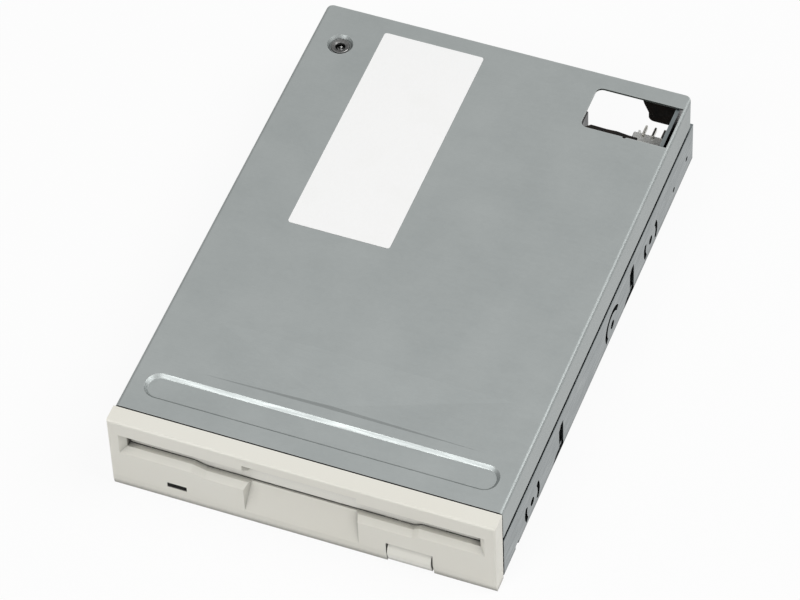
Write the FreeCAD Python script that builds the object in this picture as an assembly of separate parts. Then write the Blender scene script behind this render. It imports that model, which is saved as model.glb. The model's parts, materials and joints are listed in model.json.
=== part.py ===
import FreeCAD, Part
import math
import os

# Internal 3.5 inch floppy disk drive, slim pattern, in millimetres.
# x runs to the right, y from the bezel's front face to the rear, z up from the rails' underside.
# Every shape is moved on export, so that the origin is in the middle of the footprint.

# Overall
WIDTH = 101.6
DEPTH = 150.0
HEIGHT = 25.4
BODY_HALF = WIDTH / 2
BEZEL_DEPTH = 5.0
REAR_GAP = 0.7          # between the bezel and the sheet metal behind it
BODY_FRONT_Y = BEZEL_DEPTH + REAR_GAP

# Clearances
RUNNING_GAP = 0.1       # round pins and plungers that slide
PIVOT_GAP = 0.05        # radial play of hinge pins
SEAT_GAP = 0.02         # round pieces that sit in holes
OVERLAP = 0.1           # how deep two shapes of one piece run into each other
PAST = 1.0              # how far a cutting shape reaches past a face

# Chassis sheet
SHEET = 1.0
UPPER_STEP = 2.0        # how far the walls step inward under the cover
UPPER_HALF = BODY_HALF - UPPER_STEP
LEDGE_Z = 13.9
RAIL_WIDTH = 10.8
WEB_HALF = BODY_HALF - RAIL_WIDTH
FLOOR_Z = 3.0           # underside of the raised floor
FLOOR_TOP = FLOOR_Z + SHEET
BEND_RADIUS = 0.9
LEDGE_RADIUS = 0.15
REAR_OPENING_Y = 100.0
REAR_OPENING_HALF = WEB_HALF - 4.0
CROSSBAR_FRONT_Y = 122.0
CROSSBAR_REAR_Y = 126.0
UPPER_WALL_REAR_Y = DEPTH - 1.5
LUG_HALF = 5.0
LUG_REACH = 4.2         # from the cover screw's axis inward

# Mounting holes, in the pattern that every drive of this size has
SCREW_HOLE_R = 1.25     # M3 tapped into the sheet
COLLAR_WALL = 0.9
COLLAR_LENGTH = 1.2
SIDE_HOLE_Z = 5.0
SIDE_HOLES_Y = (26.0, 86.0, 116.0)
BOTTOM_HOLE_HALF = BODY_HALF - 3.3
BOTTOM_HOLES_Y = (36.0, 106.0)

# Two small press marks near the rear of the right wall
PRESS_MARKS = ((DEPTH - 15.4, 4.6), (DEPTH - 5.0, 5.6))
PRESS_MARK_R = 0.75
PRESS_MARK_DEPTH = 0.3

# Slots round the side holes; the middle hole has one long slot over it
ARC_RADIUS = 4.6
ARC_WIDTH = 1.6
REAR_ARC_DEG = (-38, 38)
FRONT_ARC_DEG = (150, 218)
LONG_ARC_DEG = (30, 212)

# Slots in the walls for the carrier's pins, each with a shallow pressed lead-in before it
PIN_SLOTS_Y = (47.15, 101.1)
PIN_SLOT_BOTTOM_Z = 2.7
PIN_SLOT_TOP_Z = 10.4
PIN_SLOT_SIDE_GAP = 0.15
LEAD_IN_LENGTH = 4.6
LEAD_IN_DEPTH = 0.35
LEAD_IN_HEIGHT = 1.9
RAIL_NOTCH_DEPTH = 2.5
RAIL_NOTCH_Y = (13.8, 16.2)
RAIL_NOTCH_TOP_Z = 1.8

# Top cover
COVER_SHEET = 0.6
COVER_TOP = HEIGHT - 0.45
COVER_UNDER = COVER_TOP - COVER_SHEET
COVER_HALF = BODY_HALF - 0.1
COVER_REAR_Y = DEPTH - 0.6
FLANGE_REAR_Y = DEPTH - 2.0
FLANGE_GAP = 1.4        # open line between the cover's flange and the walls' ledge
COVER_FOLD_RADIUS = 0.9
COVER_CORNER = 2.0
GROOVE_FRONT_Y = 10.8
GROOVE_REAR_Y = 18.7
GROOVE_HALF = BODY_HALF - 4.3
GROOVE_WALL = 0.9
GROOVE_DEPTH = 0.8
GROOVE_END_FLAT = 0.4
DENT_DEPTH = 0.35
DENT_FRONT = (-35.0, 40.0, 21.8)        # left x, right x, y
DENT_REAR = (-37.0, 42.0, 39.0)
DENT_LOWEST = (0.0, 23.2)
WINDOW_LEFT_X = BODY_HALF - 24.5
WINDOW_FRONT_Y = DEPTH - 19.6
WINDOW_REAR_Y = DEPTH - 5.4
WINDOW_RADIUS = 1.9
WINDOW_NICK_X = BODY_HALF - 12.3
WINDOW_NICK_R = 0.5
COVER_SCREW_X = 8.4 - BODY_HALF
COVER_SCREW_Y = DEPTH - 13.2
DIMPLE_RADIUS = 3.45
DIMPLE_FLARE = 0.7      # how much wider the dimple is at its rim than at its seat
DIMPLE_WALL = 0.5
DIMPLE_DEPTH = 0.9
TAB_LEFT_X = BODY_HALF - 12.1
TAB_RIGHT_X = BODY_HALF - 2.2
TAB_BOTTOM_Z = 12.6
TAB_NECK_Z = 15.6
TAB_SHOULDER_Z = 18.6
TAB_FLARE = 2.5         # how far the tab's left edge spreads where it leaves the sheet
TAB_SHOULDER = 1.0
TAB_NECK = 0.3
TAB_SHOULDER_RADIUS = 2.0
TAB_NECK_RADIUS = 1.0
TAB_LEFT_RADIUS = 2.6
TAB_RIGHT_RADIUS = 1.5

# Front bezel
BEZEL_WALL = 1.5
BEZEL_EDGE_RADIUS = 0.6
CHIN_Z = 4.3            # the face slopes back below this height
CHIN_SETBACK = 0.8
MOUTH_HALF = BODY_HALF - 2.8            # slot funnel at the front face
MOUTH_BOTTOM_Z = 13.85
MOUTH_TOP_Z = 20.7
FUNNEL_DEPTH = 1.5
FUNNEL_SIDE = 1.6
SLOT_HALF = MOUTH_HALF - FUNNEL_SIDE    # slot itself, behind the funnel
SLOT_BOTTOM_Z = 15.4
SLOT_TOP_Z = 19.2
SLOT_DIP = 1.0          # the slot's middle stretch is lower
DIP_LEFT_X = -25.3
DIP_RIGHT_X = 29.0
DIP_SLOPE_LEFT = 3.7
DIP_SLOPE_RIGHT = 1.5
RECESS_LEFT_X = -15.2   # finger recess
RECESS_RIGHT_X = 15.0
RECESS_TAPER_LEFT = 1.6
RECESS_TAPER_RIGHT = 0.9
RECESS_BOTTOM_Z = 4.1
RECESS_DEPTH = 2.4
RECESS_TOP_Z = 22.6
RECESS_WALL = 0.8
LIGHT_X = -33.2
LIGHT_Z = 6.25
LIGHT_WIDTH = 5.2
LIGHT_HEIGHT = 1.65
LIGHT_SETBACK = 0.25
LIGHT_FLANGE = 0.7
LIGHT_FLANGE_DEPTH = 1.2
LIGHT_BOSS_HALF = (4.0, 2.4)
BUTTON_LEFT_X = 22.1    # opening of the eject button
BUTTON_RIGHT_X = 34.3
BUTTON_TOP_Z = 7.8
BUTTON_GAP = 0.4
BUTTON_PROUD = 1.2
BUTTON_BOTTOM_Z = 0.6
BUTTON_REAR_Y = 10.4
BUTTON_WALL = 1.2
BUTTON_SHOULDER_Y = 0.9
BUTTON_BEVEL = 1.1
BUTTON_RADIUS = 0.8
BUTTON_LOW_RADIUS = 0.4
BEZEL_RIBS_X = (-24.0, -8.0, 8.0)
BEZEL_RIB_HALF = 0.5

# Hooks of the bezel, over the rails and into windows in them
HOOK_INNER_X = BODY_HALF - 8.6
HOOK_OUTER_X = BODY_HALF - 5.0
HOOK_REAR_Y = 15.0
HOOK_THICKNESS = 0.9
HOOK_BARB_LENGTH = 2.0
HOOK_BARB_Z = 0.2
HOOK_GAP = 0.2
HOOK_BLOCK_TOP_Z = 3.4
HOOK_BLOCK_SIDE = 0.6

# Dust door
DOOR_GAP = 0.5          # open line round the door
DOOR_SHEET = 1.0
DOOR_FRONT_Y = RECESS_DEPTH + 0.4
DOOR_AXIS_Y = DOOR_FRONT_Y + 0.7
DOOR_AXIS_Z = 20.9
DOOR_BARREL_R = 0.75
DOOR_PIN_R = 0.6
DOOR_PIN_LENGTH = 2.2
DOOR_ROOM_SIDE = 0.6    # the room behind the slot is wider than the slot
DOOR_SPRING_X = 1.9 - SLOT_HALF
DOOR_SPRING_HALF = 1.5
DOOR_SPRING_R = 0.92
DOOR_SPRING_GAP = 0.2

# Slide plate
SLIDE_TRAVEL = 5.5
SLIDE_SHEET = 0.8
SLIDE_TOP_Z = COVER_UNDER - 1.25
SLIDE_HALF = UPPER_HALF - 1.6
SLIDE_FRONT_Y = BODY_FRONT_Y + SLIDE_TRAVEL + 0.3
SLIDE_REAR_Y = 100.0
WING_FRONT_Z = 14.0
WING_HEEL_Z = 12.0
WING_HEEL_LENGTH = 14.0
WING_SLOPE_LENGTH = 26.0
WING_BOTTOM_Z = 3.6
WING_REAR_Y = 110.5
WING_REAR_Z = 13.0
WING_CORNER = 2.0
SLIDE_CUT_HALF = 20.0   # open over the heads
SLIDE_CUT_Y = 58.0
SLIDE_CUT_RADIUS = 4.0
SLIDE_MIDDLE_WINDOW = (-9.0, 9.0, 30.0, 50.0)
SLIDE_SIDE_WINDOW = (26.0, 38.0, 24.0, 50.0)
SLIDE_WINDOW_RADIUS = 2.5
SLIDE_GUIDES_Y = (30.0, 84.0)
GUIDE_LENGTH = 4.0
GUIDE_ROOT = 1.5
GUIDE_SIDE_GAP = 0.2
GUIDE_END_GAP = 0.4
LINK_Z = 2.2            # underside of the tongue that carries the button
LINK_DEPTH = 3.5
LINK_LEFT_X = BUTTON_LEFT_X + 2.5
LINK_TOP_Z = 14.5
LINK_ROOM = 0.6
TONGUE_HALF = 2.6
TONGUE_FRONT_Y = 6.2

# Disk carrier
CARRIER_SHEET = 0.6
CARRIER_DROP = 2.3
CARRIER_HALF = SLIDE_HALF - 1.3
CARRIER_TOP_Z = 20.0
CARRIER_FRONT_Y = 10.0
CARRIER_REAR_Y = 104.0
CARRIER_CORNER = 2.0
LIP_Z = 15.1
LIP_WIDTH = 6.6
LIP_FRONT_Y = 15.0
LIP_REAR_Y = 97.0
HEAD_NOTCH_HALF = 14.0
HEAD_NOTCH_Y = 62.0
HEAD_NOTCH_RADIUS = 3.0
CARRIER_WINDOW = (15.0, 33.0, 26.0, 40.0)
CARRIER_PIN_Z = 8.8
CARRIER_PIN_R = 1.4
CARRIER_STEM_R = 0.9
CARRIER_PIN_END_X = BODY_HALF - 0.5
EAR_BOTTOM_Z = 7.0
EAR_HALF = 3.0
EAR_CORNER = 1.5

# Shutter lever
LEVER_X = 38.0
LEVER_Y = 100.0
LEVER_RADIUS = 26.1
LEVER_TIP_R = 2.3
LEVER_HUB_R = 3.6
LEVER_SHEET = 0.8
LEVER_REST_DEG = 237.5
LEVER_TURN_DEG = 51.0
LEVER_SPARE_DEG = 4.0
LEVER_PIN_R = 1.2
LEVER_PIN_BOTTOM_Z = 16.5
LEVER_PIN_GAP = 0.5
LEVER_PIVOT_R = 1.2
LEVER_HEAD_R = 2.2
LEVER_HEAD = 0.6

# Springs that pull the carrier and the slide plate together, and leaves that press the disk
SLIDE_SPRING_X = CARRIER_HALF - 3.9
SLIDE_SPRING_Z = 21.1
SLIDE_SPRING_R = 0.8
SLIDE_SPRING_FRONT_Y = 28.0
SLIDE_SPRING_REAR_Y = 58.0
SPRING_TAB = 0.8
LEAF_X = CARRIER_HALF - 4.5
LEAF_HALF = 1.6
LEAF_FRONT_Y = 60.0
LEAF_LENGTH = 24.0
LEAF_SHEET = 0.25

# Spindle
SPINDLE_Y = 47.0
SHAFT_R = 2.0
SHAFT_TOP_Z = 15.1
SHAFT_BOTTOM_Z = 3.4
SHAFT_PLAY = 0.04
BEARING_R = 4.5
BEARING_TOP_Z = 10.4
BEARING_FLANGE_R = 7.0
ROTOR_R = 23.0
ROTOR_SHEET = 0.8
ROTOR_EDGE = 0.6
ROTOR_BOTTOM_Z = 5.8
ROTOR_TOP_Z = 11.6
MAGNET_THICKNESS = 2.0
MAGNET_BOTTOM_Z = 6.2
CHUCK_R = 14.0
CHUCK_EDGE = 0.3
CHUCK_TOP_Z = 13.8
CHUCK_THICKNESS = 1.4
CHUCK_FOOT_R = 8.0
CHUCK_COLLAR = 1.2
CHUCK_MAGNET_R = 8.0
CHUCK_MAGNET_THICKNESS = 0.7
DRIVE_PIN_X = 10.0
DRIVE_PIN_R = 1.0
DRIVE_PIN_TOP_Z = 14.8
DRIVE_PIN_EDGE = 0.4
DRIVE_PIN_ROOM = 0.4
DRIVE_LEAF_SHEET = 0.2
DRIVE_LEAF_FRONT = 4.5
DRIVE_LEAF_REAR = 2.5

# Motor board and stator
MOTOR_BOARD_THICKNESS = 1.0
MOTOR_BOARD_TOP = FLOOR_TOP + MOTOR_BOARD_THICKNESS
MOTOR_BOARD_HALF = WEB_HALF - 0.5
MOTOR_BOARD_FRONT_Y = 17.0
MOTOR_BOARD_REAR_Y = 88.0
MOTOR_BOARD_CORNER = 3.0
EAR_BOARD_FRONT_Y = BODY_FRONT_Y + 1.3
EAR_BOARD_INNER_X = 34.6
EAR_BOARD_OUTER_X = 44.4
EAR_BOARD_PAST_SWITCH = 3.4
STATOR_TEETH = 9
STATOR_R = 19.2
STATOR_CORE_R = 8.5
STATOR_RIM_R = 16.9
STATOR_BOTTOM_Z = 6.4
STATOR_THICKNESS = 2.2
STATOR_SLOT = 2.2
TOOTH_WIDTH = 3.0
COIL_WALL = 0.9
COIL_INNER_R = 10.0
COIL_OUTER_R = 16.6

# Switches
SWITCH_X = 40.5
SWITCH_Y = 10.4
DISK_SWITCH_X = -36.2
SWITCH_HALF = 2.0
SWITCH_TOP_Z = 11.5
SWITCH_BODY_TOP_Z = 10.0
SWITCH_GUIDE_WALL = 0.6
PLUNGER_R = 1.0
PLUNGER_TOP_Z = 14.6
PLUNGER_BOTTOM_Z = 10.0
PLUNGER_EDGE = 0.5
PLUNGER_TRAVEL = 1.2
PLUNGER_END_GAP = 0.3

# Head carriage, at rest over the outermost track
HEAD_Y = 86.5
HEAD_HALF = 3.4
HEAD_CORNER = 0.8
LOWER_HEAD_TOP_Z = 15.0
HEAD_GAP = 0.1
TONGUE_Z = 11.9
TONGUE_THICKNESS = 1.2
CARRIAGE_HALF = 6.0
CARRIAGE_FRONT_Y = 82.0
CARRIAGE_CORNER = 2.0
CARRIAGE_RIB = 1.2
CARRIAGE_RIB_FRONT_Y = 87.0
CARRIAGE_RIB_LOW_Z = 7.0
CARRIAGE_BEAM_Y = 109.0
CARRIAGE_REAR_Y = 118.5
BEAM_RIGHT_X = 9.0
BEAM_BOTTOM_Z = 6.8
BEAM_TOP_Z = 11.0
BEAM_WALL = 1.2
TOWER_FRONT_Y = 113.6
TOWER_ABOVE_AXIS = 1.8
FORK_BELOW_AXIS = 2.0
BUSH_FRONT_Y = 112.0
BUSH_REAR_Y = 121.5
BUSH_WALL = 1.5
GUIDE_ROD_X = -14.0
GUIDE_ROD_Z = 8.0
GUIDE_ROD_R = 1.5
CLAMP_LENGTH = 4.0
CLAMP_HALF = 4.0
CLAMP_SLOPE = 0.8
CLAMP_ABOVE_ROD = 2.8
CLAMP_CORNER = 1.6
CLAMP_ROOM = 0.4
CLAMPS_Y = (92.0, CROSSBAR_FRONT_Y)

# Upper arm
ARM_AXIS_Y = 116.0
ARM_AXIS_Z = 16.5
ARM_PIN_R = 0.8
ARM_BARREL_R = 1.6
ARM_BARREL_HALF = 4.2
ARM_FORK_HALF = 4.3
ARM_LIFT_DEG = 8.0
ARM_HEAD_HALF = 4.6
ARM_MIDDLE_HALF = 5.3
ARM_MIDDLE_Y = 100.0
ARM_FRONT_Y = 81.5
ARM_CORNER = 1.5
ARM_SHOULDER = 5.0      # from the hinge forward to where the plate widens
ARM_Z = 16.2
ARM_THICKNESS = 1.2
ARM_WINDOW = (-2.0, 2.0, 92.5, 106.0)
ARM_WINDOW_RADIUS = 1.0
ARM_RIB_X = 3.6
ARM_RIB_HALF = 0.4
ARM_RIB_HEIGHT = 0.8
ARM_RIB_Y = (90.5, 96.5, 108.0, 112.0)
ARM_SPRING_HALF = 1.4
ARM_SPRING_Y = (84.5, 92.3)
ARM_SPRING_SHEET = 0.3

# Head drive
SCREW_X = 14.0
SCREW_Z = 11.6
SCREW_R = 1.5
SCREW_FRONT_Y = 90.2
SCREW_TIP_R = 0.7
SCREW_ROOT_R = 1.0
FOLLOWER_R = 0.5
FOLLOWER_BELOW = 1.6
BRACKET_FRONT_Y = 90.0
BRACKET_SHEET = 1.0
BRACKET_HALF = 5.0
BRACKET_REAR_HALF = 9.0
BRACKET_TOP_Z = 13.7
BRACKET_SHOULDER_HALF = 6.0
BRACKET_SHOULDER = 5.0
STEPPER_R = 7.0
STEPPER_LENGTH = 8.0
STEPPER_Y = CROSSBAR_REAR_Y + BRACKET_SHEET
STEPPER_EDGE = 0.6
STEPPER_INSIDE_R = 5.0
STEPPER_END_WALL = 1.5
STEPPER_ROTOR_R = 4.4
STEPPER_ROTOR_FRONT = 2.0
STEPPER_ROTOR_REAR = 2.2

# Rear board and connectors
BOARD_THICKNESS = 1.6
BOARD_TOP = FLOOR_Z
BOARD_Z = BOARD_TOP - BOARD_THICKNESS
BOARD_HALF = WEB_HALF - 0.8
BOARD_FRONT_Y = 98.0
BOARD_REAR_Y = DEPTH - 3.0
BOARD_WING_X = BODY_HALF - 2.4
BOARD_WING_Y = DEPTH - 23.0
CONNECTOR_REAR_Y = DEPTH - 1.0
PIN_PITCH = 2.54
PIN_SIZE = 0.64
PIN_ROW_STEP = 1.2
PIN_BEND = 0.6          # the pins' bends stand this far before their housing
DATA_X = -3.0
DATA_COLUMNS = 17
DATA_ROWS_Z = (4.9, 7.44)
DATA_TOP_Z = 9.4
DATA_FRONT_Y = CONNECTOR_REAR_Y - 11.0
DATA_END = 3.6
DATA_END_WALL = 1.6
DATA_WALL = 0.9
DATA_BACK = 2.0
DATA_KEY_HALF = 2.2
DATA_PIN_SETBACK = 1.0
POWER_X = BODY_HALF - 9.2
POWER_PINS = 4
POWER_TOP_Z = 10.4
POWER_FRONT_Y = CONNECTOR_REAR_Y - 10.5
POWER_PIN_Z = 6.6
POWER_SIDE = 0.3
POWER_WALL = 1.0
POWER_FLOOR = 1.2
POWER_BACK = 1.6
POWER_PIN_SETBACK = 1.5
RIB_HEIGHT = 0.8
RIB_HALF = 0.5
RIB_LENGTH = 3.5

# Small pieces on the boards
SENSOR_X = -24.5
SENSOR_HALF = 2.6
SENSOR_GAP_HALF = 1.0
SENSOR_TOP_Z = 9.4
SENSOR_BASE_Z = 6.0
SENSOR_FRONT = 4.2
SENSOR_REAR = 0.3
FLAG_HALF = 0.4
FLAG_FRONT = 3.0
FLAG_REAR = 0.5
FLAG_THICKNESS = 0.8
FLAG_REACH = 2.6
INDEX_OFFSET = 2.4
INDEX_HALF = 1.4
INDEX_Y = (53.0, 57.0)
INDEX_HEIGHT = 3.4
CHIP_TAPER = 0.2
CONTROLLER = (-1.0, 110.0, 12.0, 12.0, 1.6)     # x, y, width, length, height
DRIVER = (-25.0, 77.0, 9.0, 7.0, 1.8)
CAPACITOR_XY = (-32.0, 112.0)
CAPACITOR_R = 2.5
CAPACITOR_HEIGHT = 5.4
CRYSTAL_XY = (27.0, 132.0)
CRYSTAL_HALF = (5.0, 1.9)
CRYSTAL_RADIUS = 1.8
CRYSTAL_HEIGHT = 3.2

# Screws: shank radius, head radius and shank length
SCREW_HEAD = 1.1
SCREW_HEAD_EDGE = 0.35
COVER_SCREW_R = 1.5
COVER_SCREW_HEAD_R = 2.5
COVER_SCREW_LENGTH = 3.2
BOARD_SCREW_R = 1.0
BOARD_SCREW_HEAD_R = 2.0
BOARD_SCREW_LENGTH = 2.6
MOTOR_SCREW_LENGTH = 2.0
BRACKET_SCREW_HEAD_R = 1.9
BOARD_SCREWS = ((2.4 - WEB_HALF, 112.0), (WEB_HALF - 2.4, 112.0))
MOTOR_SCREWS = ((-34.0, 24.0), (34.0, 80.0), (-34.0, 80.0))
BRACKET_SCREWS = ((7.4, 124.0), (20.6, 124.0))


# Helpers for profiles and solids

def vector(axis, a, b, along):
    """Point of a profile: a and b are the two other coordinates in x, y, z order."""
    if axis == "x":
        return FreeCAD.Vector(along, a, b)
    if axis == "y":
        return FreeCAD.Vector(a, along, b)
    return FreeCAD.Vector(a, b, along)


def rounded_corner(before, corner, after, radius):
    """Start, middle and end of the arc that rounds one corner."""
    to_before = before - corner
    to_after = after - corner
    half_turn = to_before.getAngle(to_after) / 2
    room = 0.49 * min(to_before.Length, to_after.Length)
    radius = min(radius, room * math.tan(half_turn))
    reach = radius / math.tan(half_turn)
    to_before.normalize()
    to_after.normalize()
    middle = to_before + to_after
    middle.normalize()
    inside = radius / math.sin(half_turn) - radius
    return corner + to_before * reach, corner + middle * inside, corner + to_after * reach


def outline(points, axis="z", along=0.0, radius=0.0):
    """Closed wire through the points; a point's third value is a corner radius of its own."""
    corners = [vector(axis, p[0], p[1], along) for p in points]
    radii = [p[2] if len(p) > 2 else radius for p in points]
    edges = []
    ends = []
    for i, corner in enumerate(corners):
        after = corners[(i + 1) % len(corners)]
        if radii[i] > 0:
            start, middle, end = rounded_corner(corners[i - 1], corner, after, radii[i])
            edges.append(Part.Arc(start, middle, end).toShape())
            ends.append((start, end))
        else:
            ends.append((corner, corner))
    for i, (start, end) in enumerate(ends):
        next_start = ends[(i + 1) % len(ends)][0]
        edges.append(Part.LineSegment(end, next_start).toShape())
    return Part.Wire(Part.__sortEdges__(edges))


def prism(points, axis, start, end, radius=0.0):
    """Solid with the profile's shape, from start to end along the axis."""
    face = Part.Face(outline(points, axis, start, radius))
    return face.extrude(vector(axis, 0, 0, end - start))


def box(x0, x1, y0, y1, z0, z1):
    return Part.makeBox(x1 - x0, y1 - y0, z1 - z0, FreeCAD.Vector(x0, y0, z0))


def rod(axis, radius, a, b, start, end):
    """Cylinder from start to end along the axis, centred at a and b in the other two."""
    return Part.makeCylinder(radius, end - start, vector(axis, a, b, start), vector(axis, 0, 0, 1))


def ring(axis, outer, inner, a, b, start, end):
    return rod(axis, outer, a, b, start, end).cut(rod(axis, inner, a, b, start, end))


def joined(first, *others):
    return first.fuse(list(others)).removeSplitter()


def rectangle(a0, a1, b0, b1, radius=0.0):
    return [(a0, b0, radius), (a1, b0, radius), (a1, b1, radius), (a0, b1, radius)]


def mirrored(shape):
    """The same shape on the other side of the middle plane."""
    return shape.mirror(FreeCAD.Vector(), FreeCAD.Vector(1, 0, 0))


def both_sides(shapes):
    return shapes + [mirrored(shape) for shape in shapes]


def chamfered(shape, size, height):
    """The shape with its edges at this height bevelled."""
    edges = [edge for edge in shape.Edges if abs(edge.CenterOfMass.z - height) < SEAT_GAP]
    return shape.makeChamfer(size, edges)


def arc_slot(axis, a, b, radius, width, degrees, start, end):
    """Curved slot with square ends, round the centre a, b."""
    def at(distance, angle_deg):
        angle = math.radians(angle_deg)
        return vector(axis, a + distance * math.cos(angle), b + distance * math.sin(angle), start)
    first, last = degrees
    middle = (first + last) / 2
    outer = radius + width / 2
    inner = radius - width / 2
    edges = [
        Part.Arc(at(outer, first), at(outer, middle), at(outer, last)).toShape(),
        Part.LineSegment(at(outer, last), at(inner, last)).toShape(),
        Part.Arc(at(inner, last), at(inner, middle), at(inner, first)).toShape(),
        Part.LineSegment(at(inner, first), at(outer, first)).toShape(),
    ]
    return Part.Face(Part.Wire(edges)).extrude(vector(axis, 0, 0, end - start))


# Chassis

def chassis_sheet():
    """Folded tray: rails at the bottom, raised floor, walls that step inward under the cover."""
    inner = SHEET
    right = [
        (WEB_HALF, FLOOR_Z, 0),
        (WEB_HALF, 0, 0),
        (BODY_HALF, 0, BEND_RADIUS),
        (BODY_HALF, LEDGE_Z, LEDGE_RADIUS),
        (UPPER_HALF, LEDGE_Z, 0),
        (UPPER_HALF, COVER_UNDER, 0),
        (UPPER_HALF - inner, COVER_UNDER, 0),
        (UPPER_HALF - inner, LEDGE_Z - inner, 0),
        (BODY_HALF - inner, LEDGE_Z - inner, 0),
        (BODY_HALF - inner, inner, 0),
        (WEB_HALF + inner, inner, 0),
        (WEB_HALF + inner, FLOOR_TOP, 0),
    ]
    left = [(-x, z, radius) for x, z, radius in reversed(right)]
    return prism(right + left, "y", BODY_FRONT_Y, DEPTH)


def mounting_collars():
    """Pressed collars that give the mounting threads their length."""
    collars = []
    outer = SCREW_HOLE_R + COLLAR_WALL
    inner_x = BODY_HALF - SHEET - COLLAR_LENGTH
    for y in SIDE_HOLES_Y:
        collars.append(rod("x", outer, y, SIDE_HOLE_Z, inner_x, BODY_HALF - SHEET / 2))
    for y in BOTTOM_HOLES_Y:
        collars.append(rod("z", outer, BOTTOM_HOLE_HALF, y, SHEET / 2, SHEET + COLLAR_LENGTH))
    return collars


def mounting_holes():
    """Threaded holes of the right wall and rail, and the slots round the side ones."""
    hole_inner_x = BODY_HALF - SHEET - COLLAR_LENGTH - PAST
    slot_inner_x = BODY_HALF - SHEET - PAST / 2
    outer_x = BODY_HALF + PAST
    cuts = []
    for y in SIDE_HOLES_Y:
        cuts.append(rod("x", SCREW_HOLE_R, y, SIDE_HOLE_Z, hole_inner_x, outer_x))
    for y in BOTTOM_HOLES_Y:
        cuts.append(rod("z", SCREW_HOLE_R, BOTTOM_HOLE_HALF, y, -PAST, SHEET + COLLAR_LENGTH + PAST))
    first, second, third = SIDE_HOLES_Y
    slots = [(first, REAR_ARC_DEG), (first, FRONT_ARC_DEG), (second, LONG_ARC_DEG),
             (third, REAR_ARC_DEG), (third, FRONT_ARC_DEG)]
    for y, degrees in slots:
        cuts.append(arc_slot("x", y, SIDE_HOLE_Z, ARC_RADIUS, ARC_WIDTH, degrees, slot_inner_x, outer_x))
    return cuts


def carrier_slots():
    """Upright slots of the right wall that the carrier's pins run in, and their lead-ins."""
    inner_x = BODY_HALF - SHEET - PAST / 2
    outer_x = BODY_HALF + PAST
    half = CARRIER_PIN_R + PIN_SLOT_SIDE_GAP
    cuts = []
    for y in PIN_SLOTS_Y:
        cuts.append(box(inner_x, outer_x, y - half, y + half, PIN_SLOT_BOTTOM_Z, PIN_SLOT_TOP_Z))
        front_y = y - half - LEAD_IN_LENGTH
        pressed_x = BODY_HALF - LEAD_IN_DEPTH
        lead_in = [(BODY_HALF, front_y), (outer_x, front_y), (outer_x, y + half), (pressed_x, y + half),
                   (pressed_x, y - half)]
        low = PIN_SLOT_BOTTOM_Z + OVERLAP - LEAD_IN_HEIGHT
        cuts.append(prism(lead_in, "z", low, PIN_SLOT_BOTTOM_Z + OVERLAP))
    return cuts


def slide_guide_slots():
    """Slots in the top edge of the right upper wall, for the slide plate's guide tabs."""
    low = SLIDE_TOP_Z - SLIDE_SHEET - RUNNING_GAP
    cuts = []
    for y in SLIDE_GUIDES_Y:
        cuts.append(box(UPPER_HALF - SHEET - PAST, UPPER_HALF + PAST, y - SLIDE_TRAVEL - GUIDE_END_GAP,
                        y + GUIDE_LENGTH + GUIDE_END_GAP, low, COVER_UNDER + PAST))
    return cuts


def rail_cuts():
    """Window for the bezel's hook and a notch at the outer edge of the right rail."""
    window = box(HOOK_INNER_X - HOOK_GAP, HOOK_OUTER_X + HOOK_GAP,
                 HOOK_REAR_Y - HOOK_BARB_LENGTH - HOOK_GAP, HOOK_REAR_Y + HOOK_GAP, -PAST, SHEET + SEAT_GAP)
    notch = box(BODY_HALF - RAIL_NOTCH_DEPTH, BODY_HALF + PAST, *RAIL_NOTCH_Y, -PAST, RAIL_NOTCH_TOP_Z)
    return [window, notch]


def floor_cuts():
    """Openings of the raised floor, for the rear board, the button's link and the bearing."""
    top = FLOOR_TOP + PAST
    wall_x = BODY_HALF - SHEET - PAST
    link_rear_y = SLIDE_FRONT_Y + LINK_DEPTH + PAST
    link_left_x = BUTTON_LEFT_X - LINK_ROOM
    cuts = [
        box(-REAR_OPENING_HALF, REAR_OPENING_HALF, REAR_OPENING_Y, CROSSBAR_FRONT_Y, -PAST, top),
        box(-REAR_OPENING_HALF, wall_x, CROSSBAR_REAR_Y, DEPTH + PAST, SHEET, top),
        box(link_left_x, wall_x, 0, link_rear_y, SHEET, top),
        box(link_left_x, BUTTON_RIGHT_X + LINK_ROOM, 0, link_rear_y, -PAST, top),
        rod("z", BEARING_R + RUNNING_GAP, 0, SPINDLE_Y, -PAST, top),
    ]
    for x, y in BOARD_SCREWS + MOTOR_SCREWS + BRACKET_SCREWS:
        cuts.append(rod("z", BOARD_SCREW_R + SEAT_GAP, x, y, -PAST, top))
    return cuts


def upper_wall_end():
    """What the upper walls and the ledges leave free at the rear."""
    half = BODY_HALF - SHEET
    return box(-half, half, UPPER_WALL_REAR_Y, DEPTH + PAST, LEDGE_Z - SHEET - OVERLAP, HEIGHT)


def screw_lug():
    """Lug bent in from the left wall, under the cover's screw."""
    top = COVER_UNDER - DIMPLE_DEPTH
    lug = box(SHEET / 2 - UPPER_HALF, COVER_SCREW_X + LUG_REACH, COVER_SCREW_Y - LUG_HALF,
              COVER_SCREW_Y + LUG_HALF, top - SHEET, top)
    hole = rod("z", COVER_SCREW_R + SEAT_GAP, COVER_SCREW_X, COVER_SCREW_Y, top - SHEET - PAST, top + PAST)
    return lug.cut(hole)


def press_marks():
    marks = []
    for y, z in PRESS_MARKS:
        marks.append(rod("x", PRESS_MARK_R, y, z, BODY_HALF - PRESS_MARK_DEPTH, BODY_HALF + PAST))
    return marks


def chassis_frame():
    tray = chassis_sheet().fuse(both_sides(mounting_collars()) + [screw_lug()])
    one_side = mounting_holes() + carrier_slots() + slide_guide_slots() + rail_cuts()
    cuts = both_sides(one_side) + floor_cuts() + press_marks() + [upper_wall_end()]
    return tray.cut(cuts).removeSplitter()


# Top cover

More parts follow.
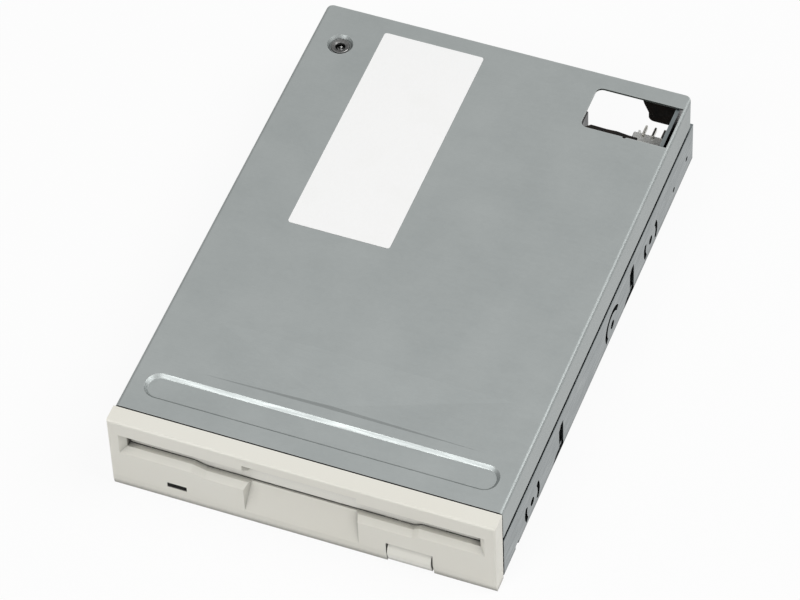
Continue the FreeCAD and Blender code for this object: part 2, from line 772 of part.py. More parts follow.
def groove(drop):
    """The pressed channel across the cover's front, lowered by drop."""
    rim_radius = (GROOVE_REAR_Y - GROOVE_FRONT_Y - GROOVE_END_FLAT) / 2
    rim = rectangle(-GROOVE_HALF, GROOVE_HALF, GROOVE_FRONT_Y, GROOVE_REAR_Y, rim_radius)
    floor = rectangle(GROOVE_WALL - GROOVE_HALF, GROOVE_HALF - GROOVE_WALL, GROOVE_FRONT_Y + GROOVE_WALL,
                      GROOVE_REAR_Y - GROOVE_WALL, rim_radius - GROOVE_WALL)
    top = COVER_TOP - drop
    return Part.makeLoft([outline(rim, "z", top), outline(floor, "z", top - GROOVE_DEPTH)], True, True)


def dent(drop):
    """The very shallow four-sided dent behind the channel, lowered by drop."""
    front_left, front_right, front_y = DENT_FRONT
    rear_left, rear_right, rear_y = DENT_REAR
    corners = [(front_left, front_y), (front_right, front_y), (rear_right, rear_y), (rear_left, rear_y)]
    top = COVER_TOP - drop
    lowest = Part.Vertex(FreeCAD.Vector(*DENT_LOWEST, top - DENT_DEPTH))
    return Part.makeLoft([outline(corners, "z", top), lowest], True, True)


def folded_section(half, top, radius):
    """Cross-section of the cover with its sides folded down."""
    bottom = LEDGE_Z + FLANGE_GAP
    return [(-half, bottom, 0), (half, bottom, 0), (half, top, radius), (-half, top, radius)]


def cover_shell():
    """Top sheet with folded sides."""
    outer = prism(folded_section(COVER_HALF, COVER_TOP, COVER_FOLD_RADIUS), "y", BODY_FRONT_Y, COVER_REAR_Y)
    plan = [(-COVER_HALF, BODY_FRONT_Y, 0), (COVER_HALF, BODY_FRONT_Y, 0),
            (COVER_HALF, COVER_REAR_Y, COVER_CORNER), (-COVER_HALF, COVER_REAR_Y, COVER_CORNER)]
    outer = outer.common(prism(plan, "z", 0, HEIGHT))
    inner_section = folded_section(COVER_HALF - COVER_SHEET, COVER_UNDER, COVER_FOLD_RADIUS - COVER_SHEET)
    inner = prism(inner_section, "y", BODY_FRONT_Y - PAST, COVER_REAR_Y + PAST)
    rear = box(-BODY_HALF, BODY_HALF, FLANGE_REAR_Y, DEPTH, 0, COVER_UNDER)
    return outer.cut([inner, rear])


def cover_rear_tab():
    """Tab folded down over the power connector, wider where it meets the sheet."""
    points = [
        (TAB_LEFT_X - TAB_FLARE, COVER_TOP - OVERLAP, 0),
        (TAB_LEFT_X - TAB_SHOULDER, TAB_SHOULDER_Z, TAB_SHOULDER_RADIUS),
        (TAB_LEFT_X + TAB_NECK, TAB_NECK_Z, TAB_NECK_RADIUS),
        (TAB_LEFT_X + TAB_NECK, TAB_BOTTOM_Z, TAB_LEFT_RADIUS),
        (TAB_RIGHT_X, TAB_BOTTOM_Z, TAB_RIGHT_RADIUS),
        (TAB_RIGHT_X, COVER_TOP - OVERLAP, 0),
    ]
    return prism(points, "y", COVER_REAR_Y - COVER_SHEET, COVER_REAR_Y)


def cover_window():
    """Rear right window, open as far as the fold, with a small round nick in its front edge."""
    right_x = COVER_HALF - COVER_FOLD_RADIUS
    low = COVER_UNDER - PAST
    high = COVER_TOP + PAST
    points = [(WINDOW_LEFT_X, WINDOW_FRONT_Y, WINDOW_RADIUS), (right_x, WINDOW_FRONT_Y, 0),
              (right_x, WINDOW_REAR_Y, 0), (WINDOW_LEFT_X, WINDOW_REAR_Y, WINDOW_RADIUS)]
    nick = rod("z", WINDOW_NICK_R, WINDOW_NICK_X, WINDOW_FRONT_Y, low, high)
    return [prism(points, "z", low, high), nick]


def screw_dimple(radius, bottom, top):
    """Cone round the cover screw, wider at its top."""
    foot = FreeCAD.Vector(COVER_SCREW_X, COVER_SCREW_Y, bottom)
    return Part.makeCone(radius - DIMPLE_FLARE, radius, top - bottom, foot)


def top_cover():
    seat = COVER_UNDER - DIMPLE_DEPTH
    outside = screw_dimple(DIMPLE_RADIUS + DIMPLE_WALL, seat, COVER_TOP)
    shell = cover_shell().fuse([groove(COVER_SHEET), dent(COVER_SHEET), cover_rear_tab(), outside])
    inside = screw_dimple(DIMPLE_RADIUS, seat + COVER_SHEET, COVER_TOP)
    hole = rod("z", COVER_SCREW_R + RUNNING_GAP, COVER_SCREW_X, COVER_SCREW_Y, seat - PAST, COVER_TOP)
    return shell.cut([groove(0), dent(0), inside, hole] + cover_window()).removeSplitter()


# Bezel

def slot_points(half, bottom, top, dip):
    """Outline of the disk slot, lower along its middle stretch."""
    return [
        (-half, bottom), (DIP_LEFT_X - DIP_SLOPE_LEFT, bottom), (DIP_LEFT_X, bottom - dip),
        (DIP_RIGHT_X, bottom - dip), (DIP_RIGHT_X + DIP_SLOPE_RIGHT, bottom), (half, bottom),
        (half, top), (-half, top),
    ]


def slot_cut():
    """Funnel at the face, slot behind it, and room for the dust door behind the slot."""
    mouth = slot_points(MOUTH_HALF + OVERLAP, MOUTH_BOTTOM_Z - OVERLAP, MOUTH_TOP_Z + OVERLAP, SLOT_DIP)
    slot = slot_points(SLOT_HALF, SLOT_BOTTOM_Z, SLOT_TOP_Z, SLOT_DIP)
    front = outline(mouth, "y", -OVERLAP)
    throat = outline(slot, "y", FUNNEL_DEPTH)
    funnel = Part.makeLoft([front, throat], True, True)
    straight = prism(slot, "y", FUNNEL_DEPTH, BEZEL_DEPTH + PAST)
    room_half = SLOT_HALF + DOOR_ROOM_SIDE
    room_top = DOOR_AXIS_Z + DOOR_BARREL_R + DOOR_GAP
    room = box(-room_half, room_half, DOOR_FRONT_Y + OVERLAP, BEZEL_DEPTH + PAST,
               SLOT_BOTTOM_Z - SLOT_DIP - BEZEL_WALL - OVERLAP, room_top)
    head_room = box(-room_half, room_half, DOOR_AXIS_Y - DOOR_BARREL_R - DOOR_GAP / 2, BEZEL_DEPTH,
                    SLOT_TOP_Z, room_top)
    return funnel.fuse([straight, room, head_room])


def finger_recess():
    """Ramp below the slot and scoop above it, narrower with depth."""
    back = RECESS_DEPTH + OVERLAP
    plan = [(RECESS_LEFT_X, -OVERLAP), (RECESS_RIGHT_X, -OVERLAP),
            (RECESS_RIGHT_X - RECESS_TAPER_RIGHT, back), (RECESS_LEFT_X + RECESS_TAPER_LEFT, back)]
    side = [(-OVERLAP, RECESS_BOTTOM_Z), (RECESS_DEPTH, SLOT_BOTTOM_Z - SLOT_DIP),
            (RECESS_DEPTH, SLOT_TOP_Z), (-OVERLAP, RECESS_TOP_Z)]
    return prism(side, "x", RECESS_LEFT_X, RECESS_RIGHT_X).common(prism(plan, "z", 0, HEIGHT))


def bezel_block():
    """Outer body: rounded front edges and a chin that slopes back."""
    block = box(-BODY_HALF, BODY_HALF, 0, BEZEL_DEPTH, 0, HEIGHT)
    middles = [(edge, edge.CenterOfMass) for edge in block.Edges]
    front_edges = [edge for edge, middle in middles if middle.y < SEAT_GAP and middle.z > SEAT_GAP]
    block = block.makeFillet(BEZEL_EDGE_RADIUS, front_edges)
    slope = CHIN_SETBACK / CHIN_Z
    chin = [(-PAST, -PAST), (CHIN_SETBACK + slope * PAST, -PAST), (0, CHIN_Z), (-PAST, CHIN_Z)]
    return block.cut(prism(chin, "x", -WIDTH, WIDTH))


def bezel_hollow():
    """Space behind the face, open to the rear, round the slot's own walls."""
    wall = BEZEL_WALL
    half = BODY_HALF - wall
    front = RECESS_DEPTH + RECESS_WALL
    lower = box(-half, half, front, BEZEL_DEPTH + PAST, wall, SLOT_BOTTOM_Z - SLOT_DIP - wall)
    boss_x, boss_z = LIGHT_BOSS_HALF
    hook_left = HOOK_INNER_X - HOOK_BLOCK_SIDE
    hook_right = HOOK_OUTER_X + HOOK_BLOCK_SIDE
    keep = [
        box(BUTTON_LEFT_X - wall, BUTTON_LEFT_X, 0, BEZEL_DEPTH, 0, HEIGHT),
        box(BUTTON_RIGHT_X, BUTTON_RIGHT_X + wall, 0, BEZEL_DEPTH, 0, HEIGHT),
        box(BUTTON_LEFT_X, BUTTON_RIGHT_X, 0, BEZEL_DEPTH, BUTTON_TOP_Z, BUTTON_TOP_Z + wall),
        box(LIGHT_X - boss_x, LIGHT_X + boss_x, 0, BEZEL_DEPTH, LIGHT_Z - boss_z, LIGHT_Z + boss_z),
        box(hook_left, hook_right, 0, BEZEL_DEPTH, 0, HOOK_BLOCK_TOP_Z),
        box(-hook_right, -hook_left, 0, BEZEL_DEPTH, 0, HOOK_BLOCK_TOP_Z),
    ]
    for x in BEZEL_RIBS_X:
        keep.append(box(x - BEZEL_RIB_HALF, x + BEZEL_RIB_HALF, 0, BEZEL_DEPTH, 0, HEIGHT))
    return lower.cut(keep)


def bezel_hook():
    """Arm that runs over the rail and hooks into its window."""
    arm = box(HOOK_INNER_X, HOOK_OUTER_X, BEZEL_DEPTH - PAST, HOOK_REAR_Y, SHEET, SHEET + HOOK_THICKNESS)
    front_y = HOOK_REAR_Y - HOOK_BARB_LENGTH
    tip_y = front_y + HOOK_BARB_LENGTH / 4
    top = SHEET + OVERLAP
    barb = [(front_y, top), (front_y, HOOK_BARB_Z), (tip_y, HOOK_BARB_Z), (HOOK_REAR_Y, top)]
    return arm.fuse(prism(barb, "x", HOOK_INNER_X, HOOK_OUTER_X))


def front_bezel():
    half_width = LIGHT_WIDTH / 2
    half_height = LIGHT_HEIGHT / 2
    rear = BEZEL_DEPTH + PAST
    light = box(LIGHT_X - half_width, LIGHT_X + half_width, -PAST, rear,
                LIGHT_Z - half_height, LIGHT_Z + half_height)
    button = box(BUTTON_LEFT_X, BUTTON_RIGHT_X, -PAST, rear, -PAST, BUTTON_TOP_Z)
    pin_end = SLOT_HALF - DOOR_GAP + DOOR_PIN_LENGTH + DOOR_SPRING_GAP
    pin_holes = rod("x", DOOR_PIN_R + PIVOT_GAP, DOOR_AXIS_Y, DOOR_AXIS_Z, -pin_end, pin_end)
    hook = bezel_hook()
    body = bezel_block().cut([bezel_hollow(), slot_cut(), finger_recess(), light, button, pin_holes])
    return joined(body, hook, mirrored(hook))


def light_guide():
    """Dark lens of the activity light, with a flange behind the face."""
    half_width = LIGHT_WIDTH / 2
    half_height = LIGHT_HEIGHT / 2
    lens = box(LIGHT_X - half_width, LIGHT_X + half_width, LIGHT_SETBACK, BEZEL_DEPTH,
               LIGHT_Z - half_height, LIGHT_Z + half_height)
    half_width = half_width + LIGHT_FLANGE
    half_height = half_height + LIGHT_FLANGE
    flange = box(LIGHT_X - half_width, LIGHT_X + half_width, BEZEL_DEPTH, BEZEL_DEPTH + LIGHT_FLANGE_DEPTH,
                 LIGHT_Z - half_height, LIGHT_Z + half_height)
    return joined(lens, flange)


def dust_door():
    """Flap that hangs behind the slot from two pins and follows the slot's lower edge."""
    half = SLOT_HALF - DOOR_GAP
    flap = prism(slot_points(half, SLOT_BOTTOM_Z + DOOR_GAP, DOOR_AXIS_Z, SLOT_DIP), "y",
                 DOOR_FRONT_Y, DOOR_FRONT_Y + DOOR_SHEET)
    barrel = rod("x", DOOR_BARREL_R, DOOR_AXIS_Y, DOOR_AXIS_Z, -half, half)
    pin_end = half + DOOR_PIN_LENGTH
    pins = rod("x", DOOR_PIN_R, DOOR_AXIS_Y, DOOR_AXIS_Z, -pin_end, pin_end)
    notch = box(-half - PAST, DOOR_SPRING_X + DOOR_SPRING_HALF, 0, BEZEL_DEPTH,
                DOOR_AXIS_Z - DOOR_SPRING_R - DOOR_SPRING_GAP, HEIGHT)
    return joined(flap.fuse(barrel).cut(notch), pins)


def door_spring():
    """Small coil round the door's left pin, in the notch of the flap."""
    return ring("x", DOOR_SPRING_R, DOOR_PIN_R + SEAT_GAP, DOOR_AXIS_Y, DOOR_AXIS_Z,
                DOOR_SPRING_X - DOOR_SPRING_HALF + DOOR_SPRING_GAP, DOOR_SPRING_X + DOOR_SPRING_HALF)


# Slide plate and eject button

def inclined_slot(y):
    """Slot of a carrier pin: as the plate moves forward, the pin is driven down."""
    half = CARRIER_PIN_R + RUNNING_GAP
    inner_x = SLIDE_HALF - SLIDE_SHEET - PAST
    start = vector("x", y, CARRIER_PIN_Z, inner_x)
    end = vector("x", y + SLIDE_TRAVEL, CARRIER_PIN_Z - CARRIER_DROP, inner_x)
    along = end - start
    along.normalize()
    side = along.cross(FreeCAD.Vector(1, 0, 0)) * half
    edges = [
        Part.LineSegment(start + side, end + side).toShape(),
        Part.Arc(end + side, end + along * half, end - side).toShape(),
        Part.LineSegment(end - side, start - side).toShape(),
        Part.Arc(start - side, start - along * half, start + side).toShape(),
    ]
    return Part.Face(Part.Wire(edges)).extrude(FreeCAD.Vector(SLIDE_SHEET + 2 * PAST, 0, 0))


def slide_wing():
    """Right side of the slide plate, with its inclined slots."""
    top = SLIDE_TOP_Z - BEND_RADIUS
    side = [
        (SLIDE_FRONT_Y, WING_FRONT_Z, WING_CORNER),
        (SLIDE_FRONT_Y + WING_HEEL_LENGTH, WING_HEEL_Z, 2 * WING_CORNER),
        (SLIDE_FRONT_Y + WING_SLOPE_LENGTH, WING_BOTTOM_Z, 2 * WING_CORNER),
        (WING_REAR_Y, WING_BOTTOM_Z, WING_CORNER),
        (WING_REAR_Y, WING_REAR_Z, WING_CORNER),
        (SLIDE_REAR_Y, WING_REAR_Z + WING_CORNER, 0),
        (SLIDE_REAR_Y, top, 0),
        (SLIDE_FRONT_Y, top, 0),
    ]
    wing = prism(side, "x", SLIDE_HALF - SLIDE_SHEET, SLIDE_HALF)
    return wing.cut([inclined_slot(y) for y in PIN_SLOTS_Y])


def slide_windows():
    """Windows of the flat top: over the heads, over the hub and one over each front corner."""
    left, right, front, rear = SLIDE_SIDE_WINDOW
    openings = [
        rectangle(-SLIDE_CUT_HALF, SLIDE_CUT_HALF, SLIDE_CUT_Y, WING_REAR_Y, SLIDE_CUT_RADIUS),
        rectangle(*SLIDE_MIDDLE_WINDOW, SLIDE_WINDOW_RADIUS),
        rectangle(left, right, front, rear, SLIDE_WINDOW_RADIUS),
        rectangle(-right, -left, front, rear, SLIDE_WINDOW_RADIUS),
    ]
    return [prism(opening, "z", SLIDE_TOP_Z - SLIDE_SHEET - PAST, HEIGHT) for opening in openings]


def slide_top():
    """Flat top with rounded folds, guide tabs and the cut-out over the heads."""
    half = SLIDE_HALF
    inner = half - SLIDE_SHEET
    low = SLIDE_TOP_Z - BEND_RADIUS
    under = SLIDE_TOP_Z - SLIDE_SHEET
    section = [
        (-half, low, 0), (-inner, low, 0), (-inner, under, 0), (inner, under, 0), (inner, low, 0),
        (half, low, 0), (half, SLIDE_TOP_Z, BEND_RADIUS), (-half, SLIDE_TOP_Z, BEND_RADIUS),
    ]
    sheet = prism(section, "y", SLIDE_FRONT_Y, SLIDE_REAR_Y)
    tabs = [spring_tab(SLIDE_SPRING_REAR_Y, SLIDE_SPRING_Z - SLIDE_SPRING_R + OVERLAP, under + OVERLAP)]
    guide_x = UPPER_HALF - GUIDE_SIDE_GAP
    for y in SLIDE_GUIDES_Y:
        tabs.append(box(half - GUIDE_ROOT, guide_x, y, y + GUIDE_LENGTH, under, SLIDE_TOP_Z))
    return sheet.cut(slide_windows()).fuse(both_sides(tabs))


def button_link():
    """Leg and tongue that reach from the right wing to the eject button."""
    front_y = SLIDE_FRONT_Y
    rear_y = SLIDE_FRONT_Y + LINK_DEPTH
    middle = (BUTTON_LEFT_X + BUTTON_RIGHT_X) / 2
    high = LINK_Z + SLIDE_SHEET
    leg = box(SLIDE_HALF - SLIDE_SHEET, SLIDE_HALF, front_y, rear_y, LINK_Z, LINK_TOP_Z)
    arm = box(LINK_LEFT_X, SLIDE_HALF, front_y, rear_y, LINK_Z, high)
    tongue = box(middle - TONGUE_HALF, middle + TONGUE_HALF, TONGUE_FRONT_Y, rear_y, LINK_Z, high)
    return [leg, arm, tongue]


def slide_plate():
    wing = slide_wing()
    return joined(slide_top(), wing, mirrored(wing), *button_link())


def spring_tab(y, low, high):
    """Small tab, bent out of a sheet, that one end of the right spring hooks on."""
    x = SLIDE_SPRING_X
    return box(x - SLIDE_SPRING_R, x + SLIDE_SPRING_R, y, y + SPRING_TAB, low, high)


def slide_springs():
    """Two pulling springs between the slide plate's rear tabs and the carrier's front tabs."""
    spring = rod("y", SLIDE_SPRING_R, SLIDE_SPRING_X, SLIDE_SPRING_Z,
                 SLIDE_SPRING_FRONT_Y, SLIDE_SPRING_REAR_Y)
    return Part.makeCompound(both_sides([spring]))


def eject_button():
    """Hollow moulded button with a bevelled face, clipped onto the slide plate's tongue."""
    left = BUTTON_LEFT_X + BUTTON_GAP
    right = BUTTON_RIGHT_X - BUTTON_GAP
    top = BUTTON_TOP_Z - BUTTON_GAP
    side = [
        (-BUTTON_PROUD, BUTTON_BOTTOM_Z, BUTTON_LOW_RADIUS), (BUTTON_REAR_Y, BUTTON_BOTTOM_Z, 0),
        (BUTTON_REAR_Y, top, 0), (BUTTON_SHOULDER_Y, top, BUTTON_RADIUS),
        (-BUTTON_PROUD, top - BUTTON_BEVEL, BUTTON_RADIUS),
    ]
    tongue_top = LINK_Z + SLIDE_SHEET
    hollow = box(left + BUTTON_WALL, right - BUTTON_WALL, BUTTON_WALL, BUTTON_REAR_Y + PAST,
                 tongue_top + BUTTON_WALL, top - BUTTON_WALL)
    middle = (left + right) / 2
    pocket = box(middle - TONGUE_HALF, middle + TONGUE_HALF, TONGUE_FRONT_Y, BUTTON_REAR_Y + PAST,
                 LINK_Z, tongue_top)
    return prism(side, "x", left, right).cut([hollow, pocket])


# Disk carrier

def carrier_sheet():
    """Folded cradle: top, sides, and lips that carry the disk's edges."""
    half = CARRIER_HALF
    inner = CARRIER_HALF - CARRIER_SHEET
    plan = [(-half, CARRIER_FRONT_Y, 0), (half, CARRIER_FRONT_Y, 0),
            (half, CARRIER_REAR_Y, CARRIER_CORNER), (-half, CARRIER_REAR_Y, CARRIER_CORNER)]
    top = prism(plan, "z", CARRIER_TOP_Z - CARRIER_SHEET, CARRIER_TOP_Z)
    tab_y = SLIDE_SPRING_FRONT_Y - SPRING_TAB
    parts = [
        box(inner, half, CARRIER_FRONT_Y, CARRIER_REAR_Y - CARRIER_CORNER, LIP_Z, CARRIER_TOP_Z),
        box(half - LIP_WIDTH, half, LIP_FRONT_Y, LIP_REAR_Y, LIP_Z, LIP_Z + CARRIER_SHEET),
        spring_tab(tab_y, CARRIER_TOP_Z - OVERLAP, SLIDE_SPRING_Z + SLIDE_SPRING_R - 2 * OVERLAP),
    ]
    for y in PIN_SLOTS_Y:
        front = y - EAR_HALF
        rear = min(y + EAR_HALF, CARRIER_REAR_Y)
        ear = [(front, LIP_Z + PAST, 0), (front, EAR_BOTTOM_Z, EAR_CORNER),
               (rear, EAR_BOTTOM_Z, EAR_CORNER), (rear, LIP_Z + PAST, 0)]
        parts.append(prism(ear, "x", inner, half))
    return top.fuse(both_sides(parts))


def disk_carrier():
    low = CARRIER_TOP_Z - CARRIER_SHEET - PAST / 2
    high = CARRIER_TOP_Z + PAST / 2
    swing_deg = (LEVER_REST_DEG - LEVER_TURN_DEG - LEVER_SPARE_DEG, LEVER_REST_DEG + LEVER_SPARE_DEG)
    slot_width = 2 * (LEVER_PIN_R + LEVER_PIN_GAP)
    pin_slot = arc_slot("z", LEVER_X, LEVER_Y, LEVER_RADIUS, slot_width, swing_deg, low, high)
    notch = rectangle(-HEAD_NOTCH_HALF, HEAD_NOTCH_HALF, HEAD_NOTCH_Y,
                      CARRIER_REAR_Y + 2 * HEAD_NOTCH_RADIUS, HEAD_NOTCH_RADIUS)
    pivot_hole = rod("z", LEVER_PIVOT_R + SEAT_GAP, LEVER_X, LEVER_Y, low, high)
    window = prism(rectangle(*CARRIER_WINDOW, CARRIER_CORNER), "z", low, high)
    one_side = [window]
    for y in PIN_SLOTS_Y:
        one_side.append(rod("x", CARRIER_STEM_R + SEAT_GAP, y, CARRIER_PIN_Z, CARRIER_HALF - PAST,
                            CARRIER_HALF + PAST))
    cuts = [pin_slot, prism(notch, "z", low, high), pivot_hole] + both_sides(one_side)
    return carrier_sheet().cut(cuts).removeSplitter()


def carrier_pins():
    """Four shouldered pins, riveted into the ears and running in both pairs of slots."""
    pins = []
    inner_x = CARRIER_HALF - CARRIER_SHEET
    for y in PIN_SLOTS_Y:
        stem = rod("x", CARRIER_STEM_R, y, CARRIER_PIN_Z, inner_x, CARRIER_HALF + OVERLAP)
        shoulder = rod("x", CARRIER_PIN_R, y, CARRIER_PIN_Z, CARRIER_HALF, CARRIER_PIN_END_X)
        pins.append(joined(stem, shoulder))
    return Part.makeCompound(both_sides(pins))


def disk_leaf_springs():
    """Two leaves under the carrier's top that press the disk down."""
    top = CARRIER_TOP_Z - CARRIER_SHEET
    leaf = box(LEAF_X - LEAF_HALF, LEAF_X + LEAF_HALF, LEAF_FRONT_Y, LEAF_FRONT_Y + LEAF_LENGTH,
               top - LEAF_SHEET, top)
    return Part.makeCompound(both_sides([leaf]))


def lever_pivot():
    """Headed pin that the shutter lever turns on."""
    low = CARRIER_TOP_Z - CARRIER_SHEET
    head = CARRIER_TOP_Z + LEVER_SHEET + RUNNING_GAP
    stem = rod("z", LEVER_PIVOT_R, LEVER_X, LEVER_Y, low, head)
    return joined(stem, rod("z", LEVER_HEAD_R, LEVER_X, LEVER_Y, head, head + LEVER_HEAD))


def shutter_lever():
    """Lever that the disk pushes round: it opens the shutter with the pin at its tip."""
    low = CARRIER_TOP_Z + PIVOT_GAP
    high = CARRIER_TOP_Z + LEVER_SHEET
    angle = math.radians(LEVER_REST_DEG)
    direction = FreeCAD.Vector(math.cos(angle), math.sin(angle), 0)
    across = direction.cross(FreeCAD.Vector(0, 0, 1))
    hub = FreeCAD.Vector(LEVER_X, LEVER_Y, low)
    tip = hub + direction * LEVER_RADIUS
    hub_right = hub + across * LEVER_HUB_R
    hub_left = hub - across * LEVER_HUB_R
    tip_right = tip + across * LEVER_TIP_R
    tip_left = tip - across * LEVER_TIP_R
    edges = [
        Part.LineSegment(hub_right, tip_right).toShape(),
        Part.Arc(tip_right, tip + direction * LEVER_TIP_R, tip_left).toShape(),
        Part.LineSegment(tip_left, hub_left).toShape(),
        Part.Arc(hub_left, hub - direction * LEVER_HUB_R, hub_right).toShape(),
    ]
    plate = Part.Face(Part.Wire(edges)).extrude(FreeCAD.Vector(0, 0, high - low))
    pin = rod("z", LEVER_PIN_R, tip.x, tip.y, LEVER_PIN_BOTTOM_Z, high)
    hole = rod("z", LEVER_PIVOT_R + PIVOT_GAP, LEVER_X, LEVER_Y, low - PAST, high + PAST)
    return plate.fuse(pin).cut(hole).removeSplitter()


# Spindle motor

def motor_board():
    """Steel-backed board under the rotor, with two ears that carry the switches."""
    bottom = FLOOR_TOP
    top = MOTOR_BOARD_TOP
    ear_rear_y = MOTOR_BOARD_FRONT_Y + 2 * MOTOR_BOARD_CORNER
    plan = rectangle(-MOTOR_BOARD_HALF, MOTOR_BOARD_HALF, MOTOR_BOARD_FRONT_Y, MOTOR_BOARD_REAR_Y,
                     MOTOR_BOARD_CORNER)
    right_ear = box(EAR_BOARD_INNER_X, EAR_BOARD_OUTER_X, EAR_BOARD_FRONT_Y, ear_rear_y, bottom, top)
    inner_x = DISK_SWITCH_X + EAR_BOARD_PAST_SWITCH
    left_ear = box(-EAR_BOARD_OUTER_X, inner_x, EAR_BOARD_FRONT_Y, ear_rear_y, bottom, top)
    holes = [rod("z", BEARING_R + RUNNING_GAP, 0, SPINDLE_Y, bottom - PAST, top + PAST)]
    for x, y in MOTOR_SCREWS:
        holes.append(rod("z", BOARD_SCREW_R + RUNNING_GAP, x, y, bottom - PAST, top + PAST))
    return prism(plan, "z", bottom, top).fuse([right_ear, left_ear]).cut(holes).removeSplitter()


def spindle_bearing():
    """Flanged sleeve with a closed bottom."""
    body = rod("z", BEARING_R, 0, SPINDLE_Y, FLOOR_Z, BEARING_TOP_Z)
    flange = rod("z", BEARING_FLANGE_R, 0, SPINDLE_Y, MOTOR_BOARD_TOP, STATOR_BOTTOM_Z)
    bore = rod("z", SHAFT_R + SHAFT_PLAY, 0, SPINDLE_Y, SHAFT_BOTTOM_Z - SEAT_GAP, BEARING_TOP_Z + PAST)
    return body.fuse(flange).cut(bore).removeSplitter()


def tooth(index, inner, outer, width, bottom, top):
    """Radial bar of the stator, number index."""
    bar = box(inner, outer, -width / 2, width / 2, bottom, top)
    bar.rotate(FreeCAD.Vector(), FreeCAD.Vector(0, 0, 1), index * 360 / STATOR_TEETH)
    bar.translate(FreeCAD.Vector(0, SPINDLE_Y, 0))
    return bar


def stator_core():
    """Toothed stack of laminations round the bearing."""
    bottom = STATOR_BOTTOM_Z
    top = STATOR_BOTTOM_Z + STATOR_THICKNESS
    core = rod("z", STATOR_CORE_R, 0, SPINDLE_Y, bottom, top)
    rim = ring("z", STATOR_R, STATOR_RIM_R, 0, SPINDLE_Y, bottom, top)
    teeth = []
    gaps = []
    for i in range(STATOR_TEETH):
        teeth.append(tooth(i, STATOR_CORE_R - PAST, STATOR_R - PAST, TOOTH_WIDTH, bottom, top))
        gaps.append(tooth(i + 0.5, STATOR_RIM_R - PAST, STATOR_R + PAST, STATOR_SLOT,
                          bottom - PAST, top + PAST))
    bore = rod("z", BEARING_R + SEAT_GAP, 0, SPINDLE_Y, bottom - PAST, top + PAST)
    return core.fuse([rim] + teeth).cut(gaps + [bore]).removeSplitter()


def stator_coils():
    """One winding round each tooth."""
    coils = []
    bottom = STATOR_BOTTOM_Z
    top = STATOR_BOTTOM_Z + STATOR_THICKNESS
    width = TOOTH_WIDTH + 2 * COIL_WALL
    for i in range(STATOR_TEETH):
        outer = tooth(i, COIL_INNER_R, COIL_OUTER_R, width, bottom - COIL_WALL, top + COIL_WALL)
        inner = tooth(i, COIL_INNER_R - PAST, COIL_OUTER_R + PAST, TOOTH_WIDTH, bottom, top)
        coils.append(outer.cut(inner))
    return Part.makeCompound(coils)


def spindle_shaft():
    return rod("z", SHAFT_R, 0, SPINDLE_Y, SHAFT_BOTTOM_Z, SHAFT_TOP_Z)


def revolved(section):
    """Solid of revolution about the spindle from a profile of radius and height."""
    face = Part.Face(outline(section, "y", 0))
    solid = face.revolve(FreeCAD.Vector(), FreeCAD.Vector(0, 0, 1), 360)
    solid.translate(FreeCAD.Vector(0, SPINDLE_Y, 0))
    return solid


def rotor_cup():
    """Flat drawn cup over the stator."""
    bore = SHAFT_R + SEAT_GAP
    under = ROTOR_TOP_Z - ROTOR_SHEET
    section = [
        (bore, ROTOR_TOP_Z), (bore, under), (ROTOR_R - ROTOR_SHEET, under),
        (ROTOR_R - ROTOR_SHEET, ROTOR_BOTTOM_Z), (ROTOR_R, ROTOR_BOTTOM_Z),
        (ROTOR_R, ROTOR_TOP_Z - ROTOR_EDGE), (ROTOR_R - ROTOR_EDGE, ROTOR_TOP_Z),
    ]
    return revolved(section)


def rotor_magnet():
    outer = ROTOR_R - ROTOR_SHEET - SEAT_GAP
    return ring("z", outer, outer - MAGNET_THICKNESS, 0, SPINDLE_Y,
                MAGNET_BOTTOM_Z, ROTOR_TOP_Z - ROTOR_SHEET)


def chuck_table():
    """Table that the disk's hub sits on, with a window for the drive pin."""
    bore = SHAFT_R + SEAT_GAP
    collar = SHAFT_R + CHUCK_COLLAR
    top = CHUCK_TOP_Z
    bottom = CHUCK_TOP_Z - CHUCK_THICKNESS
    seat = CHUCK_TOP_Z - CHUCK_MAGNET_THICKNESS
    section = [
        (bore, ROTOR_TOP_Z), (CHUCK_FOOT_R, ROTOR_TOP_Z), (CHUCK_FOOT_R, bottom), (CHUCK_R, bottom),
        (CHUCK_R, top - CHUCK_EDGE), (CHUCK_R - CHUCK_EDGE, top), (CHUCK_MAGNET_R, top),
        (CHUCK_MAGNET_R, seat), (collar, seat), (collar, top), (bore, top),
    ]
    window = rod("z", DRIVE_PIN_R + DRIVE_PIN_ROOM, DRIVE_PIN_X, SPINDLE_Y, bottom - PAST, top + PAST)
    return revolved(section).cut(window)


def chuck_magnet():
    bottom = CHUCK_TOP_Z - CHUCK_MAGNET_THICKNESS
    return ring("z", CHUCK_MAGNET_R - SEAT_GAP, SHAFT_R + CHUCK_COLLAR + SEAT_GAP, 0, SPINDLE_Y,
                bottom, CHUCK_TOP_Z - RUNNING_GAP)


def drive_pin_spring():
    """Leaf on the rotor that holds the drive pin up."""
    return box(CHUCK_FOOT_R + DRIVE_LEAF_SHEET, CHUCK_R - PAST, SPINDLE_Y - DRIVE_LEAF_FRONT,
               SPINDLE_Y + DRIVE_LEAF_REAR, ROTOR_TOP_Z, ROTOR_TOP_Z + DRIVE_LEAF_SHEET)


def drive_pin():
    pin = rod("z", DRIVE_PIN_R, DRIVE_PIN_X, SPINDLE_Y, ROTOR_TOP_Z + DRIVE_LEAF_SHEET, DRIVE_PIN_TOP_Z)
    return chamfered(pin, DRIVE_PIN_EDGE, DRIVE_PIN_TOP_Z)


# Switches on the motor board

